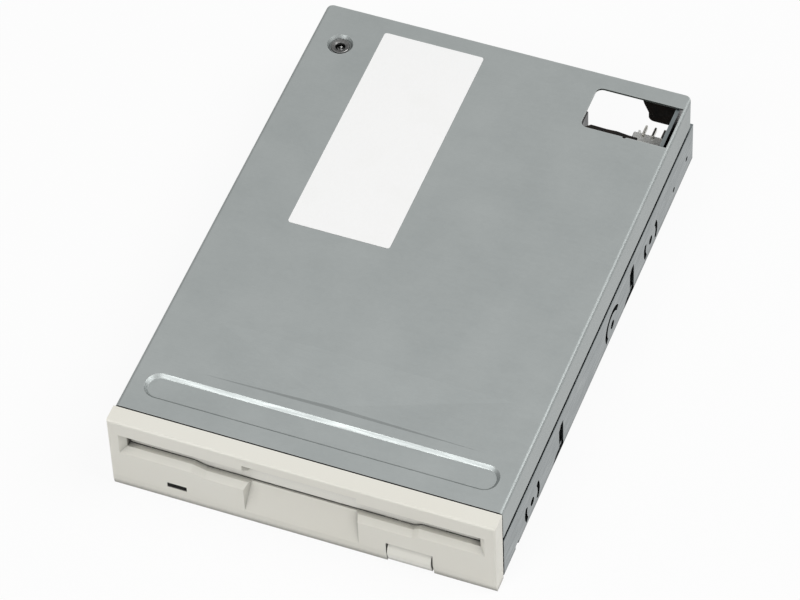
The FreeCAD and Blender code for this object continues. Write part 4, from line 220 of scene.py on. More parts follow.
class Finish:
    """A material with one surface shader and a few ways to vary it."""

    def __init__(self, name, roughness, metallic=0.0, ior=1.5, coat=0.0):
        self.material = bpy.data.materials.new(name)
        self.material.use_nodes = True
        self.tree = self.material.node_tree
        self.shader = self.tree.nodes["Principled BSDF"]
        self.shader.inputs["Roughness"].default_value = roughness
        self.shader.inputs["Metallic"].default_value = metallic
        self.shader.inputs["IOR"].default_value = ior
        self.shader.inputs["Coat Weight"].default_value = coat
        self.shader.inputs["Coat Roughness"].default_value = COAT_ROUGHNESS
        self.place = self.tree.nodes.new("ShaderNodeTexCoord").outputs["Object"]
        self.relief = None

    def node(self, kind, **settings):
        made = self.tree.nodes.new("ShaderNode" + kind)
        for key, value in settings.items():
            setattr(made, key, value)
        return made

    def link(self, source, target):
        self.tree.links.new(source, target)

    def stretched(self, stretch):
        """The place, stretched so that a pattern is drawn out along the axes with a small number."""
        mapping = self.node("Mapping")
        mapping.inputs["Scale"].default_value = stretch
        self.link(self.place, mapping.inputs["Vector"])
        return mapping.outputs["Vector"]

    def noise(self, size, detail=3.0, stretch=(1, 1, 1), low=0.3, high=0.7):
        """Noise whose blobs are about size metres wide, spread from 0 to 1 between low and high."""
        pattern = self.node("TexNoise")
        pattern.inputs["Scale"].default_value = 1.0 / size
        pattern.inputs["Detail"].default_value = detail
        self.link(self.stretched(stretch), pattern.inputs["Vector"])
        return self.spread(pattern.outputs["Fac"], low, high)

    def cells(self, size):
        """A different grey, from 0 to 1, in each cell of about size metres."""
        pattern = self.node("TexVoronoi")
        pattern.inputs["Scale"].default_value = 1.0 / size
        self.link(self.place, pattern.inputs["Vector"])
        parts = self.node("SeparateColor")
        self.link(pattern.outputs["Color"], parts.inputs[0])
        return parts.outputs[0]

    def spread(self, value, low, high, to_low=0.0, to_high=1.0):
        """The value moved from the range low to high into another range, and cut off outside it."""
        change = self.node("MapRange")
        change.inputs["From Min"].default_value = low
        change.inputs["From Max"].default_value = high
        change.inputs["To Min"].default_value = to_low
        change.inputs["To Max"].default_value = to_high
        self.link(value, change.inputs["Value"])
        return change.outputs[0]

    def weaker(self, mask, most):
        """The mask, from 0 to most instead of 1."""
        return self.spread(mask, 0.0, 1.0, 0.0, most)

    def together(self, first, second, how="MULTIPLY"):
        """One mask from two: where both are, or where either is when they are added."""
        both = self.node("Math", operation=how, use_clamp=True)
        self.link(first, both.inputs[0])
        self.link(second, both.inputs[1])
        return both.outputs[0]

    def edges(self, radius):
        """1 on sharp outer and inner edges, 0 on flat faces."""
        soft = self.node("Bevel", samples=BEVEL_SAMPLES)
        soft.inputs["Radius"].default_value = radius
        sharp = self.node("NewGeometry")
        same = self.node("VectorMath", operation="DOT_PRODUCT")
        self.link(soft.outputs[0], same.inputs[0])
        self.link(sharp.outputs["Normal"], same.inputs[1])
        return self.spread(same.outputs["Value"], EDGE_FLAT, EDGE_SHARP)

    def painted_hollow_shade(self, reach, shallow, deep, own=False):
        """Painted shade: 1 deep in gaps and inner corners, where shade falls, 0 on open faces.

        shallow and deep are the openness at which it starts and is full; own leaves out other pieces.
        """
        shade_openness = self.node("AmbientOcclusion", samples=HOLLOW_SAMPLES, only_local=own)
        shade_openness.inputs["Distance"].default_value = reach
        return self.spread(shade_openness.outputs["AO"], shallow, deep)

    def colour(self, base, *layers):
        """The base colour, with layers of (mask, colour) over it."""
        shown = None
        for mask, other in layers:
            mix = self.node("Mix", data_type="RGBA")
            self.link(mask, mix.inputs[MIX_SHARE])
            if shown is None:
                mix.inputs[MIX_BELOW].default_value = (*base, 1.0)
            else:
                self.link(shown, mix.inputs[MIX_BELOW])
            mix.inputs[MIX_OVER].default_value = (*other, 1.0)
            shown = mix.outputs[MIX_SHOWN]
        self.link(shown, self.shader.inputs["Base Color"])

    def sheen_of(self, value, low, high):
        """Roughness that follows a value from 0 to 1."""
        self.link(self.spread(value, 0.0, 1.0, low, high), self.shader.inputs["Roughness"])
        return self

    def raised(self, height, depth):
        """Fine relief: the height's 0 to 1 stands for depth metres."""
        bump = self.node("Bump")
        bump.inputs["Distance"].default_value = depth
        self.link(height, bump.inputs["Height"])
        if self.relief is not None:
            self.link(self.relief, bump.inputs["Normal"])
        self.relief = bump.outputs[0]
        self.link(self.relief, self.shader.inputs["Normal"])
        return self


def moulded_plastic(name, base, shade, roughness=(0.44, 0.56), depth=0.006 * MM, own=False):
    """Eroded mould texture, a slow drift of colour, slightly polished edges and painted shade in gaps and
    corners.
    """
    finish = Finish(name, roughness[0])
    drift = finish.noise(size=38 * MM, detail=2.0)
    rubbed = finish.edges(radius=0.25 * MM)
    # Painted shade: a darkened shade colour laid into gaps and inner corners, at two reaches.
    painted_shade = scaled(shade, 0.22)
    finish.colour(base, (drift, shade), (finish.weaker(rubbed, most=0.6), scaled(base, 1.05)),
                  (finish.painted_hollow_shade(reach=3.5 * MM, shallow=0.92, deep=0.46, own=own), painted_shade),
                  (finish.painted_hollow_shade(reach=3.2 * MM, shallow=0.80, deep=0.34), painted_shade))
    finish.sheen_of(finish.noise(size=4 * MM, detail=4.0), *roughness)
    finish.raised(finish.noise(size=9 * MM, detail=1.0), depth=0.010 * MM)
    return finish.raised(finish.noise(size=0.3 * MM, detail=2.0), depth).material


def sheet_steel(name, base, dark, bright, roughness=(0.36, 0.50), spangle=1.4 * MM,
                rolled=(1, 0.06, 1), shade_openness=(0.78, 0.42)):
    """Zinc plated sheet: faint crystals, rolling lines, dull patches, bright edges that are worn and partly a
    painted highlight, and painted shade in gaps.
    """
    finish = Finish(name, roughness[0], metallic=1.0)
    crystals = finish.weaker(finish.cells(spangle), most=0.5)
    patches = finish.weaker(finish.noise(size=16 * MM, detail=4.0), most=0.25)
    lines = finish.noise(size=0.5 * MM, detail=2.0, stretch=rolled)
    wear_and_highlight = finish.together(finish.edges(radius=0.3 * MM), finish.noise(size=3 * MM, low=0.35, high=0.6))
    pale = tuple((one + other) / 2 for one, other in zip(base, bright))
    # The last layer is painted shade, near black in gaps and inner corners; the bright edges are wear and,
    # along folds, a painted highlight.
    finish.colour(base, (crystals, dark), (patches, pale), (finish.weaker(lines, most=0.14), dark),
                  (wear_and_highlight, bright), (finish.painted_hollow_shade(2.5 * MM, *shade_openness), scaled(dark, 0.1)))
    finish.sheen_of(finish.together(lines, patches, "ADD"), *roughness)
    finish.raised(lines, depth=0.0015 * MM)
    return finish.raised(finish.noise(size=6 * MM, detail=2.0), depth=0.012 * MM).material


def plain_metal(name, base, stain, scratch=(0.05, 1, 1)):
    """Turned or plated metal with hair scratches and a faint stain."""
    finish = Finish(name, roughness=0.22, metallic=1.0)
    hair = finish.noise(size=0.25 * MM, stretch=scratch, low=0.42, high=0.62)
    cloud = finish.noise(size=5 * MM, detail=4.0)
    finish.colour(base, (finish.weaker(cloud, most=0.7), stain))
    finish.sheen_of(finish.together(hair, cloud, "ADD"), low=0.22, high=0.40)
    return finish.raised(hair, depth=0.002 * MM).material


def smooth_plastic(name, base, shade):
    """Small moulded part: fine grain and a little unevenness in its sheen."""
    finish = Finish(name, roughness=0.30)
    finish.colour(base, (finish.noise(size=7 * MM), shade))
    finish.sheen_of(finish.noise(size=2 * MM), low=0.30, high=0.42)
    return finish.raised(finish.noise(size=0.2 * MM, detail=2.0), depth=0.003 * MM).material


MAZE_CELL = 1.9 * MM
MAZE_DISORDER = 0.8
MAZE_RING = 0.16                        # from one track to the next, as a share of a cell
MAZE_TRACK = (0.07, 0.09)               # where in that ring a track starts, and where it is full


def board_mask(name, mask, track):
    """Lacquered board whose copper tracks show as paler, raised lines under the lacquer."""
    finish = Finish(name, roughness=0.3, coat=0.4)
    maze = finish.node("TexVoronoi", feature="F1", distance="MANHATTAN")
    maze.inputs["Scale"].default_value = 1.0 / MAZE_CELL
    maze.inputs["Randomness"].default_value = MAZE_DISORDER
    finish.link(finish.place, maze.inputs["Vector"])
    rings = finish.node("Math", operation="PINGPONG")
    rings.inputs[1].default_value = MAZE_RING
    finish.link(maze.outputs["Distance"], rings.inputs[0])
    copper = finish.spread(rings.outputs[0], *MAZE_TRACK)
    finish.colour(mask, (finish.noise(size=9 * MM, detail=2.0), scaled(mask, 0.8)), (copper, track))
    finish.sheen_of(finish.noise(size=3 * MM), low=0.28, high=0.42)
    return finish.raised(copper, depth=0.03 * MM).material


def chip_epoxy(name):
    """Matt black moulding compound."""
    finish = Finish(name, roughness=0.6)
    finish.colour((0.022, 0.022, 0.024), (finish.noise(size=0.5 * MM, detail=4.0), (0.038, 0.038, 0.040)))
    finish.sheen_of(finish.noise(size=2 * MM), low=0.55, high=0.7)
    return finish.raised(finish.noise(size=0.12 * MM, detail=2.0), depth=0.006 * MM).material


COIL_RINGS = 3.2 * MM                   # width of the pattern of rings


def enamelled_copper(name):
    """Wound copper wire: round turns side by side, glossy with enamel."""
    finish = Finish(name, roughness=0.3, metallic=1.0, coat=0.6)
    turns = finish.node("TexWave", wave_type="RINGS", rings_direction="Z", wave_profile="SIN")
    turns.inputs["Scale"].default_value = 1.0 / COIL_RINGS
    finish.link(finish.place, turns.inputs["Vector"])
    between = finish.spread(turns.outputs["Fac"], low=0.0, high=0.4, to_low=1.0, to_high=0.0)
    finish.colour((0.62, 0.26, 0.12), (between, (0.20, 0.06, 0.03)))
    return finish.raised(turns.outputs["Fac"], depth=0.08 * MM).material


def ferrite(name, base):
    """Sintered magnet: dull and faintly grainy."""
    finish = Finish(name, roughness=0.55)
    finish.colour(base, (finish.noise(size=0.8 * MM, detail=4.0), scaled(base, 1.7)))
    finish.sheen_of(finish.noise(size=3 * MM), low=0.45, high=0.65)
    return finish.raised(finish.noise(size=0.3 * MM), depth=0.01 * MM).material


def polished_ceramic(name):
    """Ground ceramic of the heads, glossy and slightly clouded."""
    finish = Finish(name, roughness=0.12, ior=1.7)
    finish.colour((0.70, 0.69, 0.64), (finish.noise(size=1.5 * MM, detail=4.0), (0.62, 0.60, 0.55)))
    return finish.sheen_of(finish.noise(size=1 * MM), low=0.08, high=0.2).material


def dark_lens(name):
    """Smoked clear plastic, with moulding streaks along the light's way."""
    finish = Finish(name, roughness=0.3, ior=1.3)
    finish.shader.inputs["Specular IOR Level"].default_value = 0.15
    streaks = finish.noise(size=0.8 * MM, stretch=(1, 0.1, 1))
    finish.colour((0.006, 0.006, 0.006), (streaks, (0.012, 0.013, 0.011)))
    finish.sheen_of(finish.noise(size=1.2 * MM), low=0.3, high=0.45)
    return finish.raised(finish.noise(size=1.6 * MM, detail=1.0), depth=0.02 * MM).material


def label_paper(name):
    """Bare coated paper: nearly white, with fibres, a faint curl of tone and soft handling marks."""
    finish = Finish(name, roughness=0.5)
    fibres = finish.noise(size=0.35 * MM, stretch=(1, 0.35, 1))
    finish.colour((0.95, 0.95, 0.945), (finish.weaker(fibres, most=0.5), (0.92, 0.92, 0.91)),
                  (finish.noise(size=14 * MM, low=0.5, high=0.8), (0.92, 0.92, 0.905)))
    finish.sheen_of(fibres, low=0.42, high=0.55)
    return finish.raised(fibres, depth=0.004 * MM).material


FINISHES = {
    # The chassis gets more painted shade, in the gap under the cover's flange.
    "chassis_steel": sheet_steel("plated_chassis", (0.200, 0.228, 0.232), (0.165, 0.188, 0.192),
                                 (0.37, 0.40, 0.41), roughness=(0.22, 0.36), shade_openness=(0.92, 0.60)),
    "cover_steel": sheet_steel("plated_cover", (0.372, 0.398, 0.394), (0.352, 0.377, 0.374),
                               (0.60, 0.62, 0.61), roughness=(0.42, 0.52), spangle=0.9 * MM,
                               rolled=(0.06, 1, 1)),
    "bezel_plastic": moulded_plastic("moulded_bezel", (0.785, 0.772, 0.705), (0.77, 0.752, 0.68), own=True),
    "door_plastic": moulded_plastic("moulded_door", (0.80, 0.79, 0.73), (0.78, 0.77, 0.71)),
    "button_plastic": moulded_plastic("moulded_button", (0.84, 0.83, 0.765), (0.82, 0.805, 0.735),
                                      roughness=(0.36, 0.46), depth=0.004 * MM, own=True),
    "light_lens": dark_lens("smoked_lens"),
    # Darker than the other plated steel: painted shade for the side slots through which the slide plate
    # shows.
    "slide_steel": sheet_steel("plated_slide", (0.20, 0.20, 0.19), (0.16, 0.16, 0.15), (0.40, 0.40, 0.38)),
    "carrier_steel": sheet_steel("plated_carrier", (0.52, 0.53, 0.53), (0.45, 0.46, 0.46),
                                 (0.70, 0.70, 0.70)),
    "spring_steel": plain_metal("spring_wire", (0.46, 0.46, 0.45), (0.34, 0.33, 0.31)),
    "pin_steel": plain_metal("turned_pin", (0.36, 0.36, 0.355), (0.26, 0.255, 0.25)),
    "screw_steel": plain_metal("plated_screw", (0.50, 0.50, 0.49), (0.38, 0.37, 0.35), scratch=(1, 1, 0.2)),
    "lever_plastic": smooth_plastic("lever_plastic", (0.66, 0.66, 0.63), (0.61, 0.60, 0.57)),
    "switch_plastic": smooth_plastic("switch_plastic", (0.030, 0.030, 0.032), (0.045, 0.045, 0.048)),
    "plunger_plastic": smooth_plastic("plunger_plastic", (0.70, 0.69, 0.65), (0.64, 0.63, 0.59)),
    "motor_board_mask": board_mask("motor_board_lacquer", (0.022, 0.095, 0.052), (0.075, 0.21, 0.105)),
    "main_board_mask": board_mask("main_board_lacquer", (0.024, 0.10, 0.040), (0.085, 0.24, 0.10)),
    "bearing_brass": plain_metal("turned_brass", (0.70, 0.52, 0.24), (0.55, 0.38, 0.16)),
    "core_steel": plain_metal("stacked_core", (0.30, 0.30, 0.31), (0.20, 0.19, 0.19), scratch=(0.4, 0.4, 3)),
    "coil_copper": enamelled_copper("coil_wire"),
    "magnet_ferrite": ferrite("sintered_magnet", (0.035, 0.034, 0.036)),
    "rotor_steel": sheet_steel("plated_rotor", (0.58, 0.58, 0.57), (0.50, 0.50, 0.49), (0.75, 0.75, 0.74)),
    "chuck_plastic": smooth_plastic("chuck_plastic", (0.035, 0.035, 0.035), (0.055, 0.055, 0.055)),
    "carriage_plastic": smooth_plastic("carriage_plastic", (0.050, 0.050, 0.052), (0.075, 0.075, 0.078)),
    "head_ceramic": polished_ceramic("head_ceramic"),
    "connector_white": smooth_plastic("connector_white", (0.90, 0.90, 0.875), (0.86, 0.855, 0.82)),
    "connector_black": smooth_plastic("connector_black", (0.025, 0.025, 0.025), (0.040, 0.040, 0.042)),
    "contact_tin": plain_metal("tinned_contact", (0.66, 0.65, 0.61), (0.55, 0.53, 0.48)),
    "chip_epoxy": chip_epoxy("chip_epoxy"),
    "can_aluminium": plain_metal("sleeved_can", (0.62, 0.63, 0.64), (0.52, 0.53, 0.54)),
}


def finish_frame():
    """Gives each frame node the finish of its slot."""
    for part in frame["record"]["subparts"]:
        mesh = frame["nodes"][part["node"]].data
        if not mesh.materials:
            mesh.materials.append(None)
        for index in range(len(mesh.materials)):
            mesh.materials[index] = FINISHES[part["material_slot"]]


finish_frame()


# What all pieces built here share
MERGE = 0.001 * MM                      # corners nearer than this are one
FACING = 0.99                           # a face looks along an axis when its normal has this much of it
SMOOTH_BELOW = math.radians(35)         # edges that turn by less are shaded smooth


def link_piece(name, mesh, body, slot=None, finish=None):
    """Puts a piece in the scene, on its body, in a finish of the frame's or in its own."""
    piece = linked(name, mesh)
    mesh.materials.append(finish or FINISHES[slot])
    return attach(piece, body)


def merged(node):
    """The mesh of a frame node, its doubled corners made one."""
    made = bmesh.new()
    made.from_mesh(frame["nodes"][node].data)
    bmesh.ops.remove_doubles(made, verts=made.verts, dist=MERGE)
    return made


def skin(made, rings):
    """Adds a closed shell over rings that have the same number of points."""
    rows = [[made.verts.new(point) for point in ring] for ring in rings]
    for before, after in zip(rows, rows[1:]):
        for index in range(len(before)):
            other = (index + 1) % len(before)
            made.faces.new((before[index], before[other], after[other], after[index]))
    made.faces.new(list(reversed(rows[0])))
    made.faces.new(rows[-1])


def flat_mesh(made, name):
    """The finished mesh, all its faces looking outwards."""
    bmesh.ops.recalc_face_normals(made, faces=made.faces)
    mesh = bpy.data.meshes.new(name)
    made.to_mesh(mesh)
    made.free()
    return mesh


def smooth_mesh(made, name):
    """The same, with round faces shaded as round."""
    mesh = flat_mesh(made, name)
    mesh.shade_smooth()
    mesh.set_sharp_from_angle(angle=SMOOTH_BELOW)
    return mesh


def extruded(points, low, high):
    """A flat plate with that outline between two heights."""
    made = bmesh.new()
    skin(made, [[(x, y, height) for x, y in points] for height in (low, high)])
    return flat_mesh(made, "outline")


# The bare paper label on the cover
LABEL_LOW = (-32.7 * MM, 0.6 * MM)
LABEL_HIGH = (-5.0 * MM, 70.1 * MM)
LABEL_THICK = 0.10 * MM
LABEL_CORNER = 0.8 * MM
CORNER_STEPS = 6


def rounded_rectangle(low, high, radius):
    """Points of a rectangle with round corners, anticlockwise from above."""
    centres = [(high[0] - radius, low[1] + radius, -90), (high[0] - radius, high[1] - radius, 0),
               (low[0] + radius, high[1] - radius, 90), (low[0] + radius, low[1] + radius, 180)]
    points = []
    for x, y, start in centres:
        for step in range(CORNER_STEPS + 1):
            angle = math.radians(start + 90 * step / CORNER_STEPS)
            points.append((x + radius * math.cos(angle), y + radius * math.sin(angle)))
    return points


def make_label():
    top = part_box("top_cover")[1].z
    outline = rounded_rectangle(LABEL_LOW, LABEL_HIGH, LABEL_CORNER)
    mesh = extruded(outline, top, top + LABEL_THICK)
    link_piece("bare_label", mesh, "root", finish=label_paper("label_paper"))


make_label()


# Round shapes, built from rings of points
AXES = {"x": (1, 2, 0), "y": (2, 0, 1), "z": (0, 1, 2)}     # first, second and long direction


def on_axis(axis, centre, across, up, along):
    """A point at that place across, up and along an axis through the centre."""
    point = [0.0, 0.0, 0.0]
    for way, value in zip(AXES[axis], (across, up, along)):
        point[way] = value + centre[way]
    return tuple(point)


def round_ring(axis, centre, radius, along, steps):
    """A ring about the axis; the radius may be a function of the angle."""
    points = []
    for step in range(steps):
        angle = 2 * math.pi * step / steps
        reach = radius(angle) if callable(radius) else radius
        points.append(on_axis(axis, centre, reach * math.cos(angle), reach * math.sin(angle), along))
    return points


def turned(made, axis, centre, profile, steps=32):
    """A turned shape: the profile is a row of (radius, place along the axis)."""
    skin(made, [round_ring(axis, centre, radius, along, steps) for radius, along in profile])


THREAD_SLOPE = 3.2                      # how quickly the groove's sides fall, over a pitch


def threaded(made, axis, centre, root, crest, low, high, pitch, steps=20, rows_per_turn=8):
    """A right-handed screw thread with a flat crest and a sloping groove."""
    count = max(2, round((high - low) / pitch * rows_per_turn))
    rings = []
    for row in range(count + 1):
        along = low + (high - low) * row / count

        def radius(angle, along=along):
            phase = (along / pitch - angle / (2 * math.pi)) % 1.0
            return crest - (crest - root) * max(0.0, 1.0 - abs(phase - 0.5) * THREAD_SLOPE)
        rings.append(round_ring(axis, centre, radius, along, steps))
    skin(made, rings)


def block(made, low, high, edge=0.12 * MM):
    """A box whose four upright edges and upper rim are bevelled."""
    def ring(inset, z):
        x0, y0, x1, y1 = low[0] + inset, low[1] + inset, high[0] - inset, high[1] - inset
        return [(x0 + edge, y0, z), (x1 - edge, y0, z), (x1, y0 + edge, z), (x1, y1 - edge, z),
                (x1 - edge, y1, z), (x0 + edge, y1, z), (x0, y1 - edge, z), (x0, y0 + edge, z)]
    skin(made, [ring(0, low[2]), ring(0, high[2] - edge), ring(edge, high[2])])


def islands(node):
    """The lowest and highest corners of each separate shell of a frame node."""
    made = merged(node)
    found, seen = [], set()
    for start in made.verts:
        if start in seen:
            continue
        seen.add(start)
        todo, places = [start], []
        while todo:
            here = todo.pop()
            places.append(here.co.copy())
            for edge in here.link_edges:
                there = edge.other_vert(here)
                if there not in seen:
                    seen.add(there)
                    todo.append(there)
        found.append((Vector([min(values) for values in zip(*places)]),
                      Vector([max(values) for values in zip(*places)])))
    made.free()
    return found


# Screws
SCREW_HEAD = 1.1 * MM
PAN_SHANK = 1.0 * MM
THREAD_PITCH = 0.5 * MM
THREAD_DEPTH = 0.28 * MM
SCREW_PLAY = 0.02 * MM                  # by which a thread stays inside the frame's screw
CROSS_ARM = 0.62                        # reach of the crossed recess, as a share of the head's radius
CROSS_WIDTH = 0.2                       # half the width of an arm, as such a share
CROSS_DEPTH = 0.75 * MM
CROSS_OVER = 0.3 * MM                   # how far the cutter stands over the head
CROSS_FOOT = 0.45                       # its reach at the foot, as a share of the reach at the top
CROSS_SLIM, CROSS_TAPER = 0.55, 0.45    # its width: a fixed share, and one that goes with the reach
# The pan head's side: shares of its radius and of its height
PAN_DOME = ((0.99, 0.0), (1.0, 0.12), (0.99, 0.45), (0.94, 0.68), (0.84, 0.84), (0.68, 0.94),
            (0.40, 0.995))


def cross_outline(reach, half):
    """The twelve corners of a cross, anticlockwise."""
    return [(reach, -half), (reach, half), (half, half), (half, reach), (-half, reach), (-half, half),
            (-reach, half), (-reach, -half), (-half, -half), (-half, -reach), (half, -reach), (half, -half)]


def carved(mesh, cutter):
    """The mesh less the cutter's room."""
    body = linked("carved_body", mesh)
    tool = linked("carving_tool", cutter)
    cut = body.modifiers.new("cut", "BOOLEAN")
    cut.operation, cut.solver, cut.object = "DIFFERENCE", "EXACT", tool
    seen = body.evaluated_get(bpy.context.evaluated_depsgraph_get())
    result = bpy.data.meshes.new_from_object(seen)
    bpy.data.objects.remove(body)
    bpy.data.objects.remove(tool)
    return result


def cross_cutter(centre, reach, top, depth, sign):
    """A crossed recess that narrows towards its foot; sign is 1 for a head that looks up."""
    made = bmesh.new()
    rings = []
    for share, along in ((1.0, top + sign * CROSS_OVER), (1.0, top), (CROSS_FOOT, top - sign * depth)):
        half = CROSS_WIDTH * reach / CROSS_ARM * (CROSS_SLIM + CROSS_TAPER * share)
        rings.append([(centre[0] + x, centre[1] + y, along) for x, y in cross_outline(reach * share, half)])
    skin(made, rings)
    return smooth_mesh(made, "cross")


def pan_screw(made, low, high, head_up):
    """A domed head with a crossed recess on a threaded shank, in the room of a frame screw."""
    centre = ((low.x + high.x) / 2, (low.y + high.y) / 2, 0)
    head = (high.x - low.x) / 2
    sign = 1 if head_up else -1
    seat = high.z - SCREW_HEAD if head_up else low.z + SCREW_HEAD
    foot = low.z if head_up else high.z
    top = seat + sign * SCREW_HEAD
    part = bmesh.new()
    turned(part, "z", centre, [(head * r, seat + sign * SCREW_HEAD * z) for r, z in PAN_DOME], steps=36)
    cutter = cross_cutter(centre, head * CROSS_ARM, top, CROSS_DEPTH, sign)
    made.from_mesh(carved(smooth_mesh(part, "head"), cutter))
    threaded(made, "z", centre, PAN_SHANK - THREAD_DEPTH, PAN_SHANK, *sorted((foot, seat)), THREAD_PITCH)


def make_pan_screws(node, head_up=True):
    """One piece with all screws of a frame node."""
    made = bmesh.new()
    for low, high in islands(node):
        pan_screw(made, low, high, head_up)
    piece = link_piece(node + "_turned", smooth_mesh(made, node + "_turned"), "root", slot="screw_steel")
    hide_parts(node)


COVER_SCREW_SHANK = 1.5 * MM
COVER_STEM = 0.35 * MM                  # plain stem between the well's floor and the thread
COVER_WELL = 1.3 * MM
COVER_WELL_DEPTH = 1.15 * MM
COVER_WELL_FOOT = 0.97                  # the well's radius at its floor, as a share
COVER_DOME = 1.08 * MM
COVER_CROSS_ARM = 0.74                  # as a share of the dome's radius
COVER_CROSS_TOP, COVER_CROSS_DEPTH = 0.6 * MM, 0.5 * MM
# Its side in three runs: shares of the head's, the well's and the dome's radius, and heights in mm over
# the seat, the seat and the well's floor
COVER_RIM_SIDE = ((0.98, 0), (1, 0.10), (0.985, 0.24), (0.93, 0.32), (0.80, 0.28))
COVER_WELL_SIDE = ((1.18, 0.10), (1.05, 0.02), (1, -0.12))
COVER_DOME_SIDE = ((1.03, 0), (1, 0.18), (0.90, 0.36), (0.70, 0.50), (0.40, 0.58))


def darkened_steel(name):
    """Oiled dark steel, brighter where a driver has rubbed it, with painted shade deep in its well."""
    finish = Finish(name, roughness=0.3, metallic=1.0)
    rubbed = finish.together(finish.edges(radius=0.12 * MM), finish.noise(size=0.7 * MM, detail=2.0))
    # The last layer is painted shade, nearly black deep in the well and the cross.
    finish.colour((0.19, 0.19, 0.188), (finish.noise(size=0.9 * MM), (0.12, 0.12, 0.118)),
                  (rubbed, (0.62, 0.62, 0.61)),
                  (finish.painted_hollow_shade(reach=1.6 * MM, shallow=0.6, deep=0.15), (0.01, 0.01, 0.01)))
    finish.sheen_of(finish.noise(size=0.6 * MM), low=0.22, high=0.38)
    return finish.raised(finish.noise(size=0.4 * MM, detail=2.0), depth=0.004 * MM).material


def make_cover_screw():
    """Thin dished head with a deep round well, and a crossed dome at the foot of the well."""
    low, high = islands("cover_screw")[0]
    centre = ((low.x + high.x) / 2, (low.y + high.y) / 2, 0)
    head = (high.x - low.x) / 2
    seat = high.z - SCREW_HEAD
    floor = seat - COVER_WELL_DEPTH
    shank = COVER_SCREW_SHANK - SCREW_PLAY
    profile = [(shank, floor - COVER_STEM), (shank, seat)]
    profile += [(head * share, seat + height * MM) for share, height in COVER_RIM_SIDE]
    profile += [(COVER_WELL * share, seat + height * MM) for share, height in COVER_WELL_SIDE]
    profile += [(COVER_WELL * COVER_WELL_FOOT, floor)]
    profile += [(COVER_DOME * share, floor + height * MM) for share, height in COVER_DOME_SIDE]
    part = bmesh.new()
    turned(part, "z", centre, profile, steps=48)
    cutter = cross_cutter(centre, COVER_DOME * COVER_CROSS_ARM, floor + COVER_CROSS_TOP, COVER_CROSS_DEPTH, 1)
    made = bmesh.new()
    made.from_mesh(carved(smooth_mesh(part, "head"), cutter))
    threaded(made, "z", centre, COVER_SCREW_SHANK - THREAD_DEPTH, shank, low.z, floor - COVER_STEM,
             THREAD_PITCH)
    mesh = smooth_mesh(made, "cover_screw_turned")
    piece = link_piece("cover_screw_turned", mesh, "root", finish=darkened_steel("darkened_screw"))
    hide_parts("cover_screw")


make_cover_screw()
make_pan_screws("board_screws", head_up=False)
make_pan_screws("motor_board_screws")
make_pan_screws("bracket_screws")


# Lead screw: one turn of its thread carries the heads by a quarter of their travel
LEAD_PITCH = 3.75 * MM
LEAD_ROOT = 1.12 * MM
LEAD_TIP = 0.7 * MM
LEAD_TIP_END = 0.7                      # the tip's radius at its end, as a share, after a short cone
LEAD_TIP_CONE = 0.3 * MM
LEAD_STEM = 1.0 * MM
LEAD_TIP_LENGTH = 1.5 * MM
LEAD_STEM_LENGTH = 7.6 * MM


def make_lead_screw():
    """Plain tip, thread and plain stem, from the front to the rear."""
    low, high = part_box("lead_screw")
    centre = ((low.x + high.x) / 2, 0, (low.z + high.z) / 2)
    crest = (high.x - low.x) / 2
    start, end = low.y + LEAD_TIP_LENGTH, high.y - LEAD_STEM_LENGTH
    made = bmesh.new()
    turned(made, "y", centre, [(LEAD_TIP * LEAD_TIP_END, low.y), (LEAD_TIP, low.y + LEAD_TIP_CONE),
                               (LEAD_TIP, start)])
    threaded(made, "y", centre, LEAD_ROOT, crest - SCREW_PLAY, start, end, LEAD_PITCH, steps=36,
             rows_per_turn=28)
    turned(made, "y", centre, [(LEAD_STEM, end), (LEAD_STEM, high.y)])
    piece = link_piece("lead_screw_cut", smooth_mesh(made, "lead_screw_cut"), "screw_shaft", slot="pin_steel")
    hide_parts("lead_screw")


make_lead_screw()


# Wound springs
WIRE_SIDES = 6
SLIDE_WIRE = 0.15 * MM
SLIDE_TURNS = 44
DOOR_WIRE = 0.14 * MM
DOOR_TURNS = 7


def wound(made, axis, centre, radius, wire, low, high, turns, steps=14):
    """Wire wound evenly round an axis between two places."""
    rings, count = [], int(turns * steps)
    for step in range(count + 1):
        share = step / count
        angle = 2 * math.pi * turns * share
        along = low + wire + (high - low - 2 * wire) * share
        ring = []
        for side in range(WIRE_SIDES):
            tilt = 2 * math.pi * side / WIRE_SIDES
            reach = radius + wire * math.cos(tilt)
            ring.append(on_axis(axis, centre, reach * math.cos(angle), reach * math.sin(angle),
                                along + wire * math.sin(tilt)))
        rings.append(ring)
    skin(made, rings)


def make_slide_springs():
    """Pulling springs carried with the slide plate; the real ones grow shorter as it comes forward."""
    for side, (low, high) in zip(("right", "left"), islands("slide_springs")):
        centre = ((low.x + high.x) / 2, 0, (low.z + high.z) / 2)
        made = bmesh.new()
        radius = (high.x - low.x) / 2 - SLIDE_WIRE
        wound(made, "y", centre, radius, SLIDE_WIRE, low.y, high.y, SLIDE_TURNS)
        piece = link_piece("slide_spring_" + side, smooth_mesh(made, "slide_spring"), "slide",
                           slot="spring_steel")
        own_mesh(piece)
        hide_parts("slide_springs")


def make_door_spring():
    """The short spring round the dust door's hinge."""
    low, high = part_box("door_spring")
    centre = (0, (low.y + high.y) / 2, (low.z + high.z) / 2)
    made = bmesh.new()
    radius = (high.y - low.y) / 2 - DOOR_WIRE
    wound(made, "x", centre, radius, DOOR_WIRE, low.x, high.x, DOOR_TURNS, steps=18)
    piece = link_piece("door_spring_wound", smooth_mesh(made, "door_spring"), "root", slot="spring_steel")
    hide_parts("door_spring")


make_slide_springs()
make_door_spring()


